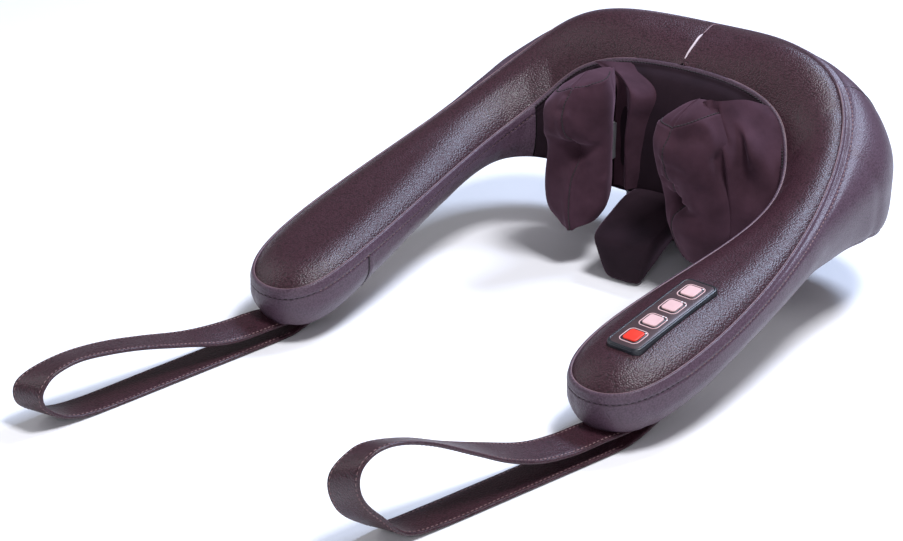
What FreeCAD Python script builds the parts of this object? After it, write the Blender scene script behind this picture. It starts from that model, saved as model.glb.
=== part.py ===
import FreeCAD
import Part
import math
import os

# Shiatsu neck massager, millimetres.  +X is the wearer's left arm with the control panel,
# +Y is the nape, -Y is where the hand straps lie, +Z is up.
# The shape is written in the nape frame, whose plane X = 0 is the centre seam, and every
# piece is moved by ORIGIN at the end, so the part stands on Z = 0 under its own middle.

V = FreeCAD.Vector

# ---- the whole object ----
FRONT_EDGE = -410.0
BACK_EDGE = 190.0
FLOOR = -4.0
ORIGIN = V(0.0, -(FRONT_EDGE + BACK_EDGE) / 2.0, -FLOOR)

# ---- padded collar: thickness of its layers ----
COVER = 2.0
FOAM = 6.5
SHELL = 2.5
CROWN = 8.0

# ---- stations of the collar, from the centre seam round the bend to the arm's tip ----
# outer top seam, inner top seam, outer bulge (out, height), outer foot (out, height),
# inner bulge (in, height), inner foot (in, height); "out" and "in" are measured from the seam.
STATIONS = [
    (V(0, 170, 167), V(0, 115, 148), (20, 108), (8, 50), (22, 100), (20, 50)),
    (V(50, 160, 170), V(45, 114, 145), (22, 108), (10, 50), (22, 98), (20, 50)),
    (V(91, 144, 168), V(79, 108, 136), (29, 106), (18, 50), (16, 92), (14, 50)),
    (V(122, 132, 154), V(97, 98, 124), (34, 103), (22, 52), (8, 86), (4, 52)),
    (V(145, 104, 132), V(111, 80, 103), (30, 97), (18, 54), (3, 78), (-3, 54)),
    (V(158, 71, 114), V(119, 56, 92), (19, 90), (5, 55), (1, 73), (-5, 56)),
    (V(169, 28, 97), V(122, 25, 82), (10, 78), (-5, 51), (1, 69), (-5, 53)),
    (V(177, -23, 81), V(120, -18, 73), (6, 64), (-10, 42), (1, 61), (-5, 46)),
    (V(182, -77, 68), V(114, -68, 66), (4, 53), (-11, 33), (2, 52), (-6, 37)),
    (V(182, -129, 56), V(106, -125, 56), (4, 40), (-12, 20), (2, 40), (-9, 22)),
    (V(177, -165, 48), V(104, -165, 49), (3, 30), (-13, 10), (2, 30), (-11, 10)),
    (V(165, -192, 41), V(113, -191, 41), (2, 26), (-9, 9), (2, 26), (-9, 9)),
    (V(148, -203, 38), V(131, -203, 38), (1, 29), (-2, 20), (1, 29), (-2, 20)),
]
TIP_CAP = 2.0
BEND = 3
WALL_END = 4
HOUSING_END = 5
POD = 9
FOAM_END = 10
TIP = 12
TOP_STRIP = [0, 1, 2, 3, 4]
INNER_STRIP = [4, 5, 6]
BOTTOM_STRIP = [6, 7]
OUTER_STRIP = [7, 8, 0]
UPPER_STRIP = [8, 0, 1, 2, 3, 4, 5]
LOWER_STRIP = [5, 6, 7, 8]

# ---- kneading drive ----
SHAFT_Y = 128.0
SHAFT_Z = 86.0
SHAFT_R = 5.0
SHAFT_HALF = 72.0
TEETH = 30
MODULE = 1.25
WHEEL_WIDTH = 8.0
PITCH_R = TEETH * MODULE / 2.0
WORM_PITCH_R = 6.0
WORM_Y = SHAFT_Y + PITCH_R + WORM_PITCH_R
WORM_LENGTH = 24.0
LEAD = math.pi * MODULE
MOTOR_R = 12.0
MOTOR_LENGTH = 32.0
HUB_X = 50.0
HUB_R = 11.0
HUB_LENGTH = 14.0
SWASH = 2.75
BEARING_R = 15.0
RING_R = 20.0
ARM_WIDTH = 12.0
RUNNING_FIT = 0.05
HEAD_R = 13.0
HEAD_UPPER = V(0, -76, 28)
HEAD_LOWER = V(0, -68, -38)
CAP_WALL = 3.0
DISC_R = 5.0
GUIDE_PIN_R = 2.0

# ---- claw covers ----
CLAW_SKIN = 2.5
CLAW_REAR = 84.0
# height, ridge Y, ridge half width, waist half width, rear half width
CLAW_LEVELS = [
    (18.0, 56.0, 8.0, 16.0, 20.0),
    (36.0, 34.0, 12.0, 25.0, 27.0),
    (72.0, 32.0, 13.0, 26.0, 29.0),
    (112.0, 26.0, 12.0, 26.0, 29.0),
    (132.0, 36.0, 10.0, 23.0, 26.0),
    (140.0, 56.0, 8.0, 16.0, 18.0),
]

# ---- lower housing and nape tab ----
BASE_HALF = 64.0
BASE_FRONT = 130.0
BASE_BACK = 172.0
BASE_TOP = 50.0
BASE_WALL = 3.0
BOSS_INSET = 12.0
TAB_HALF = 17.5
# the tab's outline from the side: Y, Z
TAB_SIDE = [(BASE_FRONT, 20.0), (90.0, 10.0), (47.0, FLOOR + 0.5), (38.0, 14.0), (38.0, 30.0),
            (90.0, 44.0), (BASE_FRONT, 46.0)]
FOOT_R = 7.0
FOOT_THICK = 2.0
BOSS_R = 4.0
SCREW_R = 1.6
SCREW_HEAD_R = 3.0
SCREW_HEAD = 2.0
SCREW_SINK = 1.0
SCREW_LENGTH = 40.0
BASE_CORNER = 16.0

# ---- control panel, in its own plane ----
PANEL_CENTRE = V(144.5, -131.0, 70.5)
PANEL_YAW = -5.3
PANEL_PITCH = 11.2
PANEL_LENGTH = 90.0
PANEL_WIDTH = 28.5
PANEL_RIM = 2.2
PANEL_CORNER = 6.4
PANEL_RECESS = 0.6
BEZEL_DEPTH = 7.0
KEY_SIZE = 11.6
KEY_CORNER = 2.4
KEY_PITCH = 20.5
KEY_TRAVEL = 0.6
KEY_GAP = 0.35
KEY_PROUD = 1.2
KEY_DEPTH = 4.0
STEM_R = 1.5
STEM_LENGTH = 3.0
LED_R = 0.6
LED_ASIDE = 7.6
LED_AHEAD = 7.9
BOARD_HALF = 10.5
BOARD_THICK = 1.6
DOME_R = 2.5
DOME_HEIGHT = 0.9
FACE_THICK = 1.6

# ---- hand straps ----
STRAP_WIDTH = 28.0
STRAP_THICK = 2.4
PIVOT_Y = -178.0
PIVOT_Z = -1.6
STRAP_GAP = 2.9
# outside of a strap seen from the side: distance from its sewn line, height
LOOP_RIGHT = [(0, 0.8), (26, 2.0), (45, 8.0), (89, 20.0), (138, 38.0), (185, 55.0), (206, 59.5),
              (221, 58.0), (230, 50.5), (233, 40.0), (230, 27.0), (221, 13.0), (207, 1.0),
              (190, -4.0), (0, -4.0)]
LOOP_LEFT = [(0, 0.8), (26, 2.0), (45, 7.0), (78, 12.0), (121, 20.0), (160, 30.0), (194, 35.0),
             (218, 33.0), (229, 26.0), (232, 16.0), (229, 5.0), (220, -2.0), (208, -4.0),
             (0, -4.0)]
STRAPS = {"right": (143.6, 11.0, LOOP_RIGHT), "left": (-145.0, 6.7, LOOP_LEFT)}
FIRST_OPEN = 2

# ---- battery and charging inlet ----
BATTERY_WIDTH = 34.0
BATTERY_LENGTH = 72.0
BATTERY_THICK = 11.0
BATTERY_AT = V(-144.5, -104.0, 48.0)
INLET = V(-166.0, -112.0, 44.0)
INLET_FACE = -186.0
INLET_BODY_R = 5.0
INLET_R = 2.75
INLET_PIN_R = 0.6
INLET_SEAT = 3.0

# ---- wiring from the panel round the nape to the battery ----
LOOM_R = 1.8
LOOM = [V(147, -58, 54), V(148, -23, 58), V(145, 28, 68), V(137, 68, 84), V(118, 104, 108),
        V(60, 138, 140), V(0, 148, 146)]


def mirrored(shape):
    return shape.mirror(V(0, 0, 0), V(1, 0, 0))


def pair(shape):
    return Part.makeCompound([shape, mirrored(shape)])


def frame_at(index):
    outer, inner = STATIONS[index][0], STATIONS[index][1]
    out = V(outer.x - inner.x, outer.y - inner.y, 0)
    if index in (0, TIP):
        out = V(0, 1, 0) if index == 0 else V(1, 0, 0)
    out.normalize()
    return out


def section(index):
    """Nine corners of the collar at a station, from the outer seam over the crown."""
    outer, inner, bulge_out, foot_out, bulge_in, foot_in = STATIONS[index]
    out = frame_at(index)
    crown = CROWN if index < FOAM_END else CROWN * (0.75 if index < TIP else 0.35)
    points = [outer]
    for share, rise in ((0.22, 0.8), (0.5, 1.0), (0.78, 0.8)):
        point = outer + (inner - outer) * share
        points.append(point + V(0, 0, crown * rise))
    points.append(inner)
    points.append(V(inner.x, inner.y, bulge_in[1]) - out * bulge_in[0])
    points.append(V(inner.x, inner.y, foot_in[1]) - out * foot_in[0])
    points.append(V(outer.x, outer.y, foot_out[1]) + out * foot_out[0])
    points.append(V(outer.x, outer.y, bulge_out[1]) + out * bulge_out[0])
    return points


def inset(index, depth):
    """The section's corners moved inwards by depth, in the section's own plane."""
    points = section(index)
    if depth == 0:
        return points
    out = frame_at(index)
    base = points[0]
    flat = [((p - base).dot(out), p.z) for p in points]
    moved = []
    count = len(flat)
    for k in range(count):
        before, here, after = flat[k - 1], flat[k], flat[(k + 1) % count]
        first = unit_normal(before, here)
        second = unit_normal(here, after)
        bend = 1.0 + first[0] * second[0] + first[1] * second[1]
        step_u = depth * (first[0] + second[0]) / bend
        step_v = depth * (first[1] + second[1]) / bend
        moved.append((here[0] + step_u, here[1] + step_v))
    return [points[k] + out * (moved[k][0] - flat[k][0]) + V(0, 0, moved[k][1] - flat[k][1])
            for k in range(count)]


def unit_normal(a, b):
    """Inward normal of an edge, for corners that run from the outer seam over the top."""
    du, dv = b[0] - a[0], b[1] - a[1]
    length = math.hypot(du, dv)
    return (-dv / length, du / length)


def wire(points):
    return Part.makePolygon(list(points) + [points[0]])


def loft(outlines):
    return Part.makeLoft([wire(points) for points in outlines], True, True)


def flip(points):
    return [V(-p.x, p.y, p.z) for p in points]


def layer(strip, stations, outside, inside, across=False):
    """A layer of the collar between two depths, over some corners and some stations."""
    outlines = []
    for index in stations:
        outer_line = [inset(index, outside)[k] for k in strip]
        inner_line = [inset(index, inside)[k] for k in strip]
        outlines.append(outer_line + inner_line[::-1])
    if across:
        left = [flip(points) for points in outlines[:0:-1]]
        outlines = left + outlines
    return loft(outlines)


def box(x0, x1, y0, y1, z0, z1):
    return Part.makeBox(x1 - x0, y1 - y0, z1 - z0, V(x0, y0, z0))


def rod(radius, start, direction, length):
    return Part.makeCylinder(radius, length, start, direction)


def tube(outer, inner, start, direction, length):
    return rod(outer, start, direction, length).cut(rod(inner, start, direction, length))


def rounded_box(x0, x1, y0, y1, z0, z1, radius):
    solid = box(x0, x1, y0, y1, z0, z1)
    upright = [e for e in solid.Edges if abs(e.Vertexes[0].Z - e.Vertexes[-1].Z) > 0.5 * (z1 - z0)]
    return solid.makeFillet(radius, upright)


# ================= padded collar =================

def span(first, last):
    return list(range(first, last + 1))


def tip_cap():
    points = section(TIP)
    face = Part.Face(wire(points))
    return face.extrude(V(0, -TIP_CAP, 0))


def panel_pocket(margin, depth):
    """The recess for the control panel, a block in the panel's plane."""
    half_w = PANEL_WIDTH / 2.0 + margin
    half_l = PANEL_LENGTH / 2.0 + margin
    return to_panel(box(-half_w, half_w, -half_l, half_l, -depth, 12.0))


def wall_openings():
    """Gaps in the inner wall for the two kneading arms and their bearing rings."""
    right = box(HUB_X - 17, HUB_X + 17, 60, SHAFT_Y - 3, SHAFT_Z - 28, SHAFT_Z + 28)
    return right.fuse(mirrored(right))


def make_collar():
    pocket = panel_pocket(0.0, BEZEL_DEPTH)
    deep_pocket = panel_pocket(-PANEL_RIM, 30.0)
    openings = wall_openings()
    foam_in = COVER + FOAM
    shell_in = foam_in + SHELL
    parts = {}
    top = layer(TOP_STRIP, span(0, TIP), 0, COVER)
    parts["top_cover_left"] = mirrored(top)
    parts["top_cover_right"] = top.cut(pocket).cut(deep_pocket)
    parts["back_band"] = layer(OUTER_STRIP, span(0, BEND), 0, COVER, True)
    outer = layer(OUTER_STRIP, span(BEND, TIP), 0, COVER).fuse(tip_cap()).removeSplitter()
    parts["outer_band_right"] = outer
    parts["outer_band_left"] = mirrored(outer).cut(inlet_hole())
    inner = layer(INNER_STRIP, span(WALL_END, TIP), 0, COVER)
    parts["inner_band_right"] = inner
    parts["inner_band_left"] = mirrored(inner)
    wall = layer(INNER_STRIP, span(0, WALL_END), 0, COVER, True)
    parts["inner_wall_fabric"] = wall.cut(openings)
    under = layer(BOTTOM_STRIP, span(BEND, TIP), 0, COVER)
    parts["bottom_cover_right"] = under
    parts["bottom_cover_left"] = mirrored(under)
    parts["bottom_cover_back"] = layer(BOTTOM_STRIP, span(0, BEND), 0, COVER, True)
    foam = layer(UPPER_STRIP, span(HOUSING_END, FOAM_END), COVER, foam_in)
    right_foam = foam.cut(pocket).cut(deep_pocket)
    parts["arm_foam"] = Part.makeCompound([right_foam, mirrored(foam).cut(inlet_hole())])
    under_foam = layer(LOWER_STRIP, span(HOUSING_END, FOAM_END), COVER, foam_in)
    parts["arm_under_foam"] = Part.makeCompound([under_foam, mirrored(under_foam).cut(inlet_hole())])
    parts["nape_foam"] = layer(UPPER_STRIP, span(0, HOUSING_END), COVER, foam_in, True).cut(openings)
    lower = layer(LOWER_STRIP, span(0, HOUSING_END), COVER, foam_in, True)
    parts["nape_under_foam"] = lower.cut(openings)
    tip_outlines = [inset(index, COVER) for index in span(FOAM_END, TIP)]
    parts["tip_foam"] = pair(loft(tip_outlines))
    upper = layer(UPPER_STRIP, span(HOUSING_END, FOAM_END), foam_in, shell_in)
    lower = layer(LOWER_STRIP, span(HOUSING_END, FOAM_END), foam_in, shell_in)
    right_frame = upper.cut(pocket).cut(deep_pocket)
    parts["arm_frame_upper"] = Part.makeCompound([right_frame, mirrored(upper).cut(inlet_hole())])
    parts["arm_frame_lower"] = Part.makeCompound([lower, mirrored(lower).cut(inlet_hole())])
    upper = layer(UPPER_STRIP, span(0, HOUSING_END), foam_in, shell_in, True)
    lower = layer(LOWER_STRIP, span(0, HOUSING_END), foam_in, shell_in, True)
    parts["housing_upper"] = upper.cut(openings)
    parts["housing_lower"] = lower.cut(openings)
    return parts


# ================= lower housing =================

def base_corners():
    for x in (-BASE_HALF + BOSS_INSET, BASE_HALF - BOSS_INSET):
        for y in (BASE_FRONT + BOSS_INSET, BASE_BACK - BOSS_INSET):
            yield V(x, y, 0)


def make_base():
    parts = {}
    up = V(0, 0, 1)
    low, top = FLOOR + FOOT_THICK, BASE_TOP
    outer = rounded_box(-BASE_HALF, BASE_HALF, BASE_FRONT, BASE_BACK, low, top, BASE_CORNER)
    hollow_half = BASE_HALF - BASE_WALL
    hollow = rounded_box(-hollow_half, hollow_half, BASE_FRONT + BASE_WALL, BASE_BACK - BASE_WALL,
                         low + BASE_WALL, top + 1, BASE_CORNER - BASE_WALL)
    base = outer.cut(hollow)
    feet, screws = [], []
    for corner in base_corners():
        start = corner + up * low
        seat = SCREW_SINK + SCREW_HEAD
        base = base.fuse(rod(BOSS_R, start, up, top - low))
        base = base.cut(rod(SCREW_R, start, up, top - low))
        base = base.cut(rod(SCREW_HEAD_R + 0.2, start, up, seat))
        head = rod(SCREW_HEAD_R, start + up * SCREW_SINK, up, SCREW_HEAD)
        screws.append(head.fuse(rod(SCREW_R, start + up * seat, up, SCREW_LENGTH)))
        feet.append(rod(FOOT_R, corner + up * FLOOR, up, FOOT_THICK))
    parts["base_housing"] = base
    parts["base_screws"] = Part.makeCompound(screws)
    parts["base_feet"] = Part.makeCompound(feet)
    side = [V(-TAB_HALF, y, z) for y, z in TAB_SIDE]
    parts["nape_tab"] = Part.Face(wire(side)).extrude(V(2 * TAB_HALF, 0, 0))
    return parts


# ================= kneading drive =================

def drive_axis():
    return V(0, SHAFT_Y, SHAFT_Z)


def tilted(shape, side):
    """Turn a piece that sits square on the hub into the hub's own slant."""
    centre = V(side * HUB_X, SHAFT_Y, SHAFT_Z)
    turned = shape.copy()
    turned.rotate(centre, V(0, 0, 1), -side * SWASH)
    return turned


def worm_wheel():
    root_r = PITCH_R - 1.3
    half = WHEEL_WIDTH / 2.0
    blank = rod(root_r, V(-half, SHAFT_Y, SHAFT_Z), V(1, 0, 0), WHEEL_WIDTH)
    tooth = Part.makePolygon([V(-half, -0.85, root_r - 0.4), V(-half, -0.45, PITCH_R + 0.9),
                              V(-half, 0.45, PITCH_R + 0.9), V(-half, 0.85, root_r - 0.4),
                              V(-half, -0.85, root_r - 0.4)])
    one = Part.Face(tooth).extrude(V(WHEEL_WIDTH, 0, 0))
    teeth = []
    for k in range(TEETH):
        copy = one.copy()
        copy.rotate(V(0, 0, 0), V(1, 0, 0), 360.0 * (k + 0.5) / TEETH - 90.0)
        copy.translate(drive_axis())
        teeth.append(copy)
    wheel = blank.multiFuse(teeth)
    for k in range(5):
        angle = math.radians(72.0 * k)
        at = V(-half, SHAFT_Y + 11.5 * math.cos(angle), SHAFT_Z + 11.5 * math.sin(angle))
        wheel = wheel.cut(rod(2.6, at, V(1, 0, 0), WHEEL_WIDTH))
    return wheel.cut(rod(SHAFT_R, V(-half, SHAFT_Y, SHAFT_Z), V(1, 0, 0), WHEEL_WIDTH))


def worm():
    core_r = WORM_PITCH_R - 1.4
    tip_r = WORM_PITCH_R + 0.7
    low = SHAFT_Z - WORM_LENGTH / 2.0
    core = rod(core_r, V(0, 0, 0), V(0, 0, 1), WORM_LENGTH)
    turns = int((WORM_LENGTH - 4.0) / LEAD)
    height = turns * LEAD
    helix = Part.makeHelix(LEAD, height, core_r)
    profile = Part.makePolygon([V(core_r - 0.3, 0, -0.75), V(tip_r, 0, -0.4), V(tip_r, 0, 0.4),
                                V(core_r - 0.3, 0, 0.75), V(core_r - 0.3, 0, -0.75)])
    thread = Part.Wire(helix).makePipeShell([profile], True, True)
    # a thread crest faces the wheel, on -Y, at the height of the shaft, between two teeth
    thread.translate(V(0, 0, (WORM_LENGTH - height) / 2.0))
    solid = core.fuse(thread).cut(rod(1.5, V(0, 0, 0), V(0, 0, 1), WORM_LENGTH))
    crest_at = (WORM_LENGTH / 2.0 - (WORM_LENGTH - height) / 2.0) / LEAD
    turn = -90.0 - 360.0 * (crest_at - math.floor(crest_at))
    solid.rotate(V(0, 0, 0), V(0, 0, 1), turn)
    solid.translate(V(0, WORM_Y, low))
    return solid


def make_drive():
    parts = {}
    left_end = V(-SHAFT_HALF, SHAFT_Y, SHAFT_Z)
    parts["drive_shaft"] = rod(SHAFT_R, left_end, V(1, 0, 0), 2 * SHAFT_HALF)
    parts["worm_wheel"] = worm_wheel()
    parts["worm"] = worm()
    worm_low = SHAFT_Z - WORM_LENGTH / 2.0
    motor_low = SHAFT_Z + WORM_LENGTH / 2.0 + 4.0
    parts["motor_shaft"] = rod(1.5, V(0, WORM_Y, worm_low - 4), V(0, 0, 1), WORM_LENGTH + 12)
    can = rod(MOTOR_R, V(0, WORM_Y, motor_low), V(0, 0, 1), MOTOR_LENGTH)
    can = can.cut(rod(1.5 + RUNNING_FIT, V(0, WORM_Y, motor_low - 1), V(0, 0, 1), 11))
    parts["drive_motor"] = can
    foot = tube(4.0, 1.5 + RUNNING_FIT, V(0, WORM_Y, worm_low - 5), V(0, 0, 1), 3.5)
    parts["worm_bush"] = foot
    hubs = []
    for side, name in ((-1, "left"), (1, "right")):
        centre = V(side * HUB_X, SHAFT_Y, SHAFT_Z)
        start = centre - V(HUB_LENGTH / 2.0, 0, 0)
        hub = tilted(rod(HUB_R, start, V(1, 0, 0), HUB_LENGTH), side)
        hubs.append(hub.cut(rod(SHAFT_R, centre - V(20, 0, 0), V(1, 0, 0), 40)))
        ring_start = centre - V(ARM_WIDTH / 2.0 - 2, 0, 0)
        bearing = tube(BEARING_R, HUB_R + RUNNING_FIT, ring_start, V(1, 0, 0), ARM_WIDTH - 4)
        parts["hub_bearing_" + name] = tilted(bearing, side)
        parts["kneading_arm_" + name] = tilted(kneading_arm(centre), side)
        heads = [head_cap(centre, offset) for offset in (HEAD_UPPER, HEAD_LOWER)]
        discs = [heater_disc(centre, offset) for offset in (HEAD_UPPER, HEAD_LOWER)]
        parts["kneading_heads_" + name] = tilted(Part.makeCompound(heads), side)
        parts["heater_discs_" + name] = tilted(Part.makeCompound(discs), side)
        parts["claw_cover_" + name] = tilted(claw_cover(side), side)
    end = V(SHAFT_HALF - 11, SHAFT_Y, SHAFT_Z)
    parts["swash_hubs"] = Part.makeCompound(hubs)
    parts["guide_slots"] = pair(guide_slot(V(HUB_X, SHAFT_Y, SHAFT_Z)))
    parts["shaft_bearings"] = pair(tube(10.0, SHAFT_R + RUNNING_FIT, end, V(1, 0, 0), 6))
    parts["bearing_blocks"] = pair(bearing_block(end))
    parts["gearbox_case"] = gearbox_case()
    return parts


def kneading_arm(centre):
    """A Y-shaped lever: a ring on the hub, a fork to the two heads, and a guide pin behind."""
    low = centre - V(ARM_WIDTH / 2.0, 0, 0)
    axis = V(1, 0, 0)
    outline = [V(0, -14, 12), V(0, -46, 16), V(0, -60, 30), V(0, -70, 34), V(0, -74, 22),
               V(0, -64, 14), V(0, -57, -4), V(0, -60, -24), V(0, -68, -30), V(0, -68, -43),
               V(0, -54, -40), V(0, -44, -14), V(0, -14, -12)]
    fork = Part.Face(wire([low + p for p in outline])).extrude(V(ARM_WIDTH, 0, 0))
    tail = box(low.x + 2, low.x + ARM_WIDTH - 2, centre.y + RING_R - 4, centre.y + RING_R + 4,
               centre.z - 5, centre.z + 5)
    pin = rod(GUIDE_PIN_R, centre + V(0, RING_R + 3, 0), V(0, 1, 0), 10.0)
    body = rod(RING_R, low, axis, ARM_WIDTH).fuse([fork, tail, pin])
    body = body.cut(rod(HUB_R + 1.5, low - axis, axis, ARM_WIDTH + 2))
    body = body.cut(rod(BEARING_R, low + V(2, 0, 0), axis, ARM_WIDTH - 4))
    for offset in (HEAD_UPPER, HEAD_LOWER):
        core = Part.makeSphere(HEAD_R - CAP_WALL, centre + offset)
        recess = rod(DISC_R, centre + offset, V(0, -1, 0), HEAD_R)
        recess.translate(V(0, -(HEAD_R - CAP_WALL) + 2.0, 0))
        body = body.fuse(core).cut(recess)
    return body.removeSplitter()


def head_cap(centre, offset):
    """A ball-shaped soft cap round the arm's end, with a window for the heater disc."""
    ball = Part.makeSphere(HEAD_R, centre + offset)
    cap = ball.cut(Part.makeSphere(HEAD_R - CAP_WALL, centre + offset))
    window = rod(DISC_R, centre + offset, V(0, -1, 0), HEAD_R + 1)
    neck = box(centre.x - ARM_WIDTH / 2.0, centre.x + ARM_WIDTH / 2.0, centre.y + offset.y,
               centre.y + offset.y + HEAD_R + 1, centre.z + offset.z - HEAD_R,
               centre.z + offset.z + HEAD_R)
    return cap.cut(window).cut(neck)


def heater_disc(centre, offset):
    start = centre + offset + V(0, -(HEAD_R - CAP_WALL) + 2.0, 0)
    return rod(DISC_R, start, V(0, -1, 0), CAP_WALL + 1.0)


def guide_slot(centre):
    """A plate with a sideways slot that stops the arm from turning with the hub."""
    plate = box(centre.x - 14, centre.x + 14, centre.y + RING_R + 7, centre.y + RING_R + 11,
                centre.z - 9, centre.z + 9)
    slot = box(centre.x - 7, centre.x + 7, centre.y + RING_R + 6, centre.y + RING_R + 12,
               centre.z - 2.4, centre.z + 2.4)
    return plate.cut(slot)


def bearing_block(end):
    block = box(end.x, end.x + 6, SHAFT_Y - 13, SHAFT_Y + 13, SHAFT_Z - 20, SHAFT_Z + 13)
    return block.cut(rod(10.0, end, V(1, 0, 0), 6))


def gearbox_case():
    """A two-cheek frame: each cheek carries the shaft, and a bridge holds the motor."""
    cheeks = []
    for x in (-14.0, 11.0):
        plate = box(x, x + 3, SHAFT_Y - 12, WORM_Y + 14, SHAFT_Z - 24, SHAFT_Z + 15.5)
        cheeks.append(plate)
    floor = box(-11, 11, SHAFT_Y - 12, WORM_Y + 14, SHAFT_Z - 24, SHAFT_Z - 21.5)
    shelf = box(-11, 11, SHAFT_Y + 17, WORM_Y + 14, SHAFT_Z + 13.5, SHAFT_Z + 15.5)
    post = box(-6, 6, WORM_Y - 6, WORM_Y + 6, SHAFT_Z - 21.5, SHAFT_Z - WORM_LENGTH / 2.0 - 1.6)
    case = floor.fuse([shelf, post] + cheeks)
    case = case.cut(rod(SHAFT_R + 0.3, V(-20, SHAFT_Y, SHAFT_Z), V(1, 0, 0), 40))
    case = case.cut(rod(4.5, V(0, WORM_Y, SHAFT_Z), V(0, 0, 1), 30))
    bush_low = SHAFT_Z - WORM_LENGTH / 2.0 - 5
    case = case.cut(rod(4.0, V(0, WORM_Y, bush_low), V(0, 0, 1), 10))
    return case.removeSplitter()


def claw_outline(level, skin, rear):
    height, ridge_y, ridge, waist, half = level
    middle = (ridge_y + CLAW_REAR) / 2.0
    return [V(-half + skin, rear, height), V(-waist + skin, middle, height),
            V(-ridge + skin * 0.6, ridge_y + skin, height),
            V(ridge - skin * 0.6, ridge_y + skin, height),
            V(waist - skin, middle, height), V(half - skin, rear, height)]


def claw_cover(side):
    """A stretch-fabric sock round one kneading arm, open towards the wall."""
    outer = loft([claw_outline(level, 0.0, CLAW_REAR) for level in CLAW_LEVELS])
    hollow = []
    for level in CLAW_LEVELS:
        height = level[0]
        if level is CLAW_LEVELS[0]:
            height += CLAW_SKIN
        if level is CLAW_LEVELS[-1]:
            height -= CLAW_SKIN
        hollow.append(claw_outline((height,) + level[1:], CLAW_SKIN, CLAW_REAR + 4.0))
    cover = outer.cut(loft(hollow))
    cover.translate(V(side * HUB_X, 0, 0))
    return cover


# ================= control panel =================

def to_panel(shape):
    """Place a shape drawn flat, long side along Y, in the panel's tilted plane."""
    placed = shape.copy()
    placed.rotate(V(0, 0, 0), V(1, 0, 0), PANEL_PITCH)
    placed.rotate(V(0, 0, 0), V(0, 0, 1), PANEL_YAW)
    placed.translate(PANEL_CENTRE)
    return placed


def key_places():
    return [(k - 1.5) * KEY_PITCH for k in range(4)]


def make_panel():
    parts = {}
    half_w, half_l = PANEL_WIDTH / 2.0, PANEL_LENGTH / 2.0
    face_w, face_l = half_w - PANEL_RIM, half_l - PANEL_RIM
    face_corner = PANEL_CORNER - PANEL_RIM
    rim = rounded_box(-half_w, half_w, -half_l, half_l, -BEZEL_DEPTH, 0, PANEL_CORNER)
    opening = rounded_box(-face_w, face_w, -face_l, face_l, -BEZEL_DEPTH - 1, 1, face_corner)
    parts["panel_bezel"] = to_panel(rim.cut(opening))
    low = -PANEL_RECESS - FACE_THICK
    face = rounded_box(-face_w, face_w, -face_l, face_l, low, -PANEL_RECESS, face_corner)
    leds = []
    hole = KEY_SIZE / 2.0 + KEY_GAP
    for y in key_places():
        face = face.cut(rounded_box(-hole, hole, y - hole, y + hole, low - 1, 1, KEY_CORNER + KEY_GAP))
        for x in (-LED_ASIDE, LED_ASIDE):
            led = rod(LED_R, V(x, y + LED_AHEAD, low), V(0, 0, 1), FACE_THICK)
            face = face.cut(led)
            leds.append(led)
    parts["panel_face"] = to_panel(face)
    parts["status_leds"] = to_panel(Part.makeCompound(leds))
    names = ["key_power", "key_mode", "key_speed", "key_heat"]
    half = KEY_SIZE / 2.0
    for name, y in zip(names, key_places()):
        cap = rounded_box(-half, half, y - half, y + half, -KEY_DEPTH, KEY_PROUD - PANEL_RECESS, KEY_CORNER)
        stem = rod(STEM_R, V(0, y, -KEY_DEPTH - STEM_LENGTH), V(0, 0, 1), STEM_LENGTH)
        parts[name] = to_panel(cap.fuse(stem))
    board_top = -KEY_DEPTH - STEM_LENGTH - KEY_TRAVEL - 0.1 - DOME_HEIGHT - 0.3
    end = half_l - 4.0
    board = box(-BOARD_HALF, BOARD_HALF, -end, end, board_top - BOARD_THICK, board_top)
    parts["control_board"] = to_panel(board)
    domes = [rod(DOME_R, V(0, y, board_top), V(0, 0, 1), DOME_HEIGHT) for y in key_places()]
    parts["dome_switches"] = to_panel(Part.makeCompound(domes))
    return parts


# ================= battery and inlet =================

def inlet_hole():
    inner_end = V(INLET.x + 6, INLET.y, INLET.z)
    return rod(INLET_BODY_R, inner_end, V(-1, 0, 0), 40)


def make_power():
    parts = {}
    outward = V(-1, 0, 0)
    length = INLET.x - INLET_FACE
    seat = INLET + outward * INLET_SEAT
    barrel = rod(INLET_BODY_R, INLET, outward, length).cut(rod(INLET_R, seat, outward, length))
    pin = rod(INLET_PIN_R, seat, outward, length - 2 * INLET_SEAT)
    parts["charging_inlet"] = Part.makeCompound([barrel, pin])
    half_w, half_l, half_t = BATTERY_WIDTH / 2.0, BATTERY_LENGTH / 2.0, BATTERY_THICK / 2.0
    pack = rounded_box(-half_w, half_w, -half_l, half_l, -half_t, half_t, 3.0)
    pack.rotate(V(0, 0, 0), V(1, 0, 0), PANEL_PITCH)
    pack.translate(BATTERY_AT)
    parts["battery_pack"] = pack
    return parts


# ================= hand straps =================

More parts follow.
